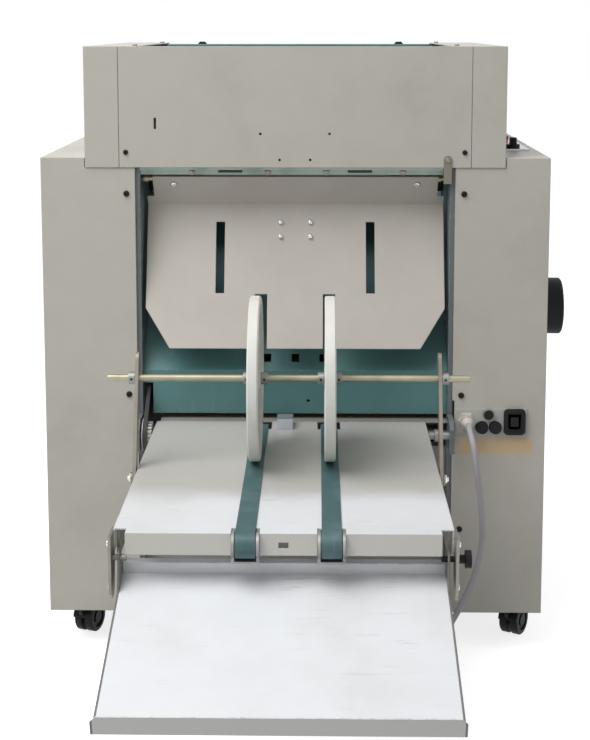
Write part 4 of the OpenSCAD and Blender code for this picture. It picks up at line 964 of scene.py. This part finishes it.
fit_set("bracket_screws", panel_screw, conveyor_seats(BRACKET_OUT, BRACKET_SCREWS), "frame", "bright_steel")
fit_set("arm_pivot_nuts", pivot_nut, conveyor_seats(ARM_OUT + ARM_NUT_GAP, [ARM_PIVOT]),
        "frame", "bright_steel")


def coil_tie():
    """Strap over the bundle of turns, with its ends tucked down on both sides."""
    inner, outer, top, strap, wide, bend, lift = 32.5, 59.5, 16.4, 1.2, 9.0, 5.0, 0.05
    tie = upright_block("coil_tie", outer - inner, wide, top, (inner + outer) / 2)
    pick_faces(tie, lambda normal: normal.z < -0.9 or abs(normal.y) > 0.9)
    bpy.ops.mesh.delete(type="FACE")
    pick_edges(tie, lambda first, second: (
        min(first.z, second.z) > top / 2 * MM and abs(first.y - second.y) > wide / 2 * MM))
    bpy.ops.mesh.bevel(offset=bend * MM, segments=6, affect="EDGES")
    bpy.ops.object.mode_set(mode="OBJECT")
    thicken(tie, strap)
    soften(tie, 0.25, 60.0)
    turn = Matrix.Rotation(math.pi / 4, 4, "Z")
    tie.data.transform(Matrix.Translation(at(*COIL_CENTRE, lift)) @ turn)
    dress(tie, "frame", "black_plastic")


def tray_back_fold():
    """Hollow bar along the tray's rear edge, closed all round, its lower rear edge rounded."""
    length, depth, height, bend, sheet = 325.0, 6.0, 12.5, 2.2, 1.2
    near = 0.5 * MM
    clear_selection()
    bpy.ops.mesh.primitive_plane_add(size=1.0, location=(0, -depth / 2 * MM, 0))
    bar = bpy.context.object
    bar.name = "tray_back_fold"
    bar.scale = (length * MM, depth * MM, 1.0)
    bpy.ops.object.transform_apply(location=True, scale=True)
    bpy.ops.object.mode_set(mode="EDIT")
    bpy.ops.mesh.select_all(action="SELECT")
    bpy.ops.mesh.extrude_region_move(TRANSFORM_OT_translate={"value": (0, 0, height * MM)})
    pick_edges(bar, lambda *ends: all(abs(end.y) < near and end.z < near for end in ends))
    bpy.ops.mesh.bevel(offset=bend * MM, segments=5, affect="EDGES")
    bpy.ops.mesh.select_all(action="SELECT")
    bpy.ops.mesh.normals_make_consistent(inside=False)
    bpy.ops.object.mode_set(mode="OBJECT")
    thicken(bar, sheet)
    soften(bar, 0.25, 60.0)
    turn = Matrix.Rotation(TRAY_SLOPE, 4, "X")
    bar.data.transform(Matrix.Translation(at(CONVEYOR_MID, *TRAY_REAR)) @ turn)
    dress(bar, "delivery_tray", "white_paint")


def pocket_hem():
    """Rolled edge along the top of the pocket plate, hollow at its ends."""
    length, radius, wall, hollow = 387.0, 2.2, 0.8, 4.0
    clear_selection()
    bpy.ops.mesh.primitive_cylinder_add(
        vertices=24, radius=radius * MM, depth=length * MM, rotation=(0, math.pi / 2, 0))
    hem = bpy.context.object
    hem.name = "pocket_hem"
    bpy.ops.object.transform_apply(rotation=True)
    pick_faces(hem, lambda normal: abs(normal.x) > 0.9)
    bpy.ops.mesh.inset(thickness=wall * MM, depth=-hollow * MM)
    bpy.ops.object.mode_set(mode="OBJECT")
    soften(hem, 0.2, 60.0)
    hem.data.transform(Matrix.Translation(at(0.0, *POCKET_TOP)))
    dress(hem, "frame", "teal_paint")


def bent_tab(name):
    """Sheet tab standing on Z 0, its narrower top bent back."""
    width, sheet, leg, top, back, narrower = 14.0, 1.4, 7.2, 3.6, 2.0, 0.55
    tab = upright_block(name, width, sheet, leg)
    pick_faces(tab, faces_up)
    bpy.ops.mesh.extrude_region_move(TRANSFORM_OT_translate={"value": (0, back * MM, top * MM)})
    bpy.ops.transform.resize(value=(narrower, 1.0, 1.0), orient_type="GLOBAL")
    bpy.ops.object.mode_set(mode="OBJECT")
    soften(tab, 0.4)
    return tab


TAB_X = (-142.0, 147.0)
TAB_Y = POCKET_TOP[0] + 3.9
TAB_FOOT = 772.4

coil_tie()
tray_back_fold()
pocket_hem()
guide_tab = bent_tab("guide_tab_pattern")
fit_set("guide_tabs", guide_tab, facing(UP, [(x, TAB_Y, TAB_FOOT) for x in TAB_X]), "frame", "black_paint")

PLATE_FRONT = -2.0
POWER_Z = 307.7
OUTLET = (278.8, PLATE_FRONT, POWER_Z)
BREAKER = (246.0, PLATE_FRONT, POWER_Z + 9.0)
FUSE_X, FUSE_Z = (237.5, 254.5), POWER_Z - 7.5
GLAND = (218.0, PLATE_FRONT - 7.6, 309.0)
ROD_Y, ROD_Z, COLLAR_R = -168.0, 403.0, 7.0
COLLAR_X = (-185.65, -53.4, -32.6, 32.6, 53.4, 175.65)
SET_SCREW_Y = ROD_Y - COLLAR_R + 0.2
ROCKER = (275.5, 150.0, 645.0)
POINTER = (287.5, 125.0, 659.2)
BUSHES = [(x, 24.0, 615.0) for x in (-193.0, 176.0)]

outlet_surround = rounded_surround(
    "outlet_surround_pattern", width=27.5, height=33.5, depth=4.6, corner=5.5, rim=4.4)
breaker_ring = knurled_ring("breaker_ring_pattern", outer=15.6, inner=12.1, height=3.2)
fuse_rim = round_bush("fuse_rim_pattern", outer=16.4, inner=14.7, height=2.2)
gland_collar = knurled_ring("gland_collar_pattern", outer=18.6, inner=17.1, height=7.0)
hinge_bush = round_bush("hinge_bush_pattern", outer=9.0, inner=6.6, height=8.0)
set_screw = round_screw("set_screw_pattern", diameter=3.2, height=1.2, crown=0.3, socket=1.6)

fit_set("outlet_surround", outlet_surround, facing(FRONT, [OUTLET]), "frame", "black_plastic")
fit_set("breaker_ring", breaker_ring, facing(FRONT, [BREAKER]), "frame", "aged_zinc")
fit_set("fuse_rims", fuse_rim, facing(FRONT, [(x, PLATE_FRONT, FUSE_Z) for x in FUSE_X]),
        "frame", "black_plastic")
fit_set("gland_collar", gland_collar, facing(FRONT, [GLAND]), "frame", "white_plastic")
fit_set("collar_set_screws", set_screw, facing(FRONT, [(x, SET_SCREW_Y, ROD_Z) for x in COLLAR_X]),
        "press_frame", "black_paint")

rocker = moulded_block("rocker_pattern", (9.0, 15.0, 5.0), rounding=0.6, panel_in=1.2, panel_depth=0.8)
pointer = moulded_block("pointer_pattern", (1.4, 8.0, 0.6), rounding=0.15, panel_in=0.25, panel_depth=0.1)
fit_set("control_rocker", rocker, facing(UP, [ROCKER]), "frame", "black_plastic")
fit_set("selector_pointer", pointer, facing(UP, [POINTER]), "selector", "white_plastic")
fit_set("hinge_bushes", hinge_bush, facing(RIGHT, BUSHES), "frame", "yellow_zinc")

for pattern in used_patterns:
    bpy.data.objects.remove(pattern)


bpy.context.view_layer.update()
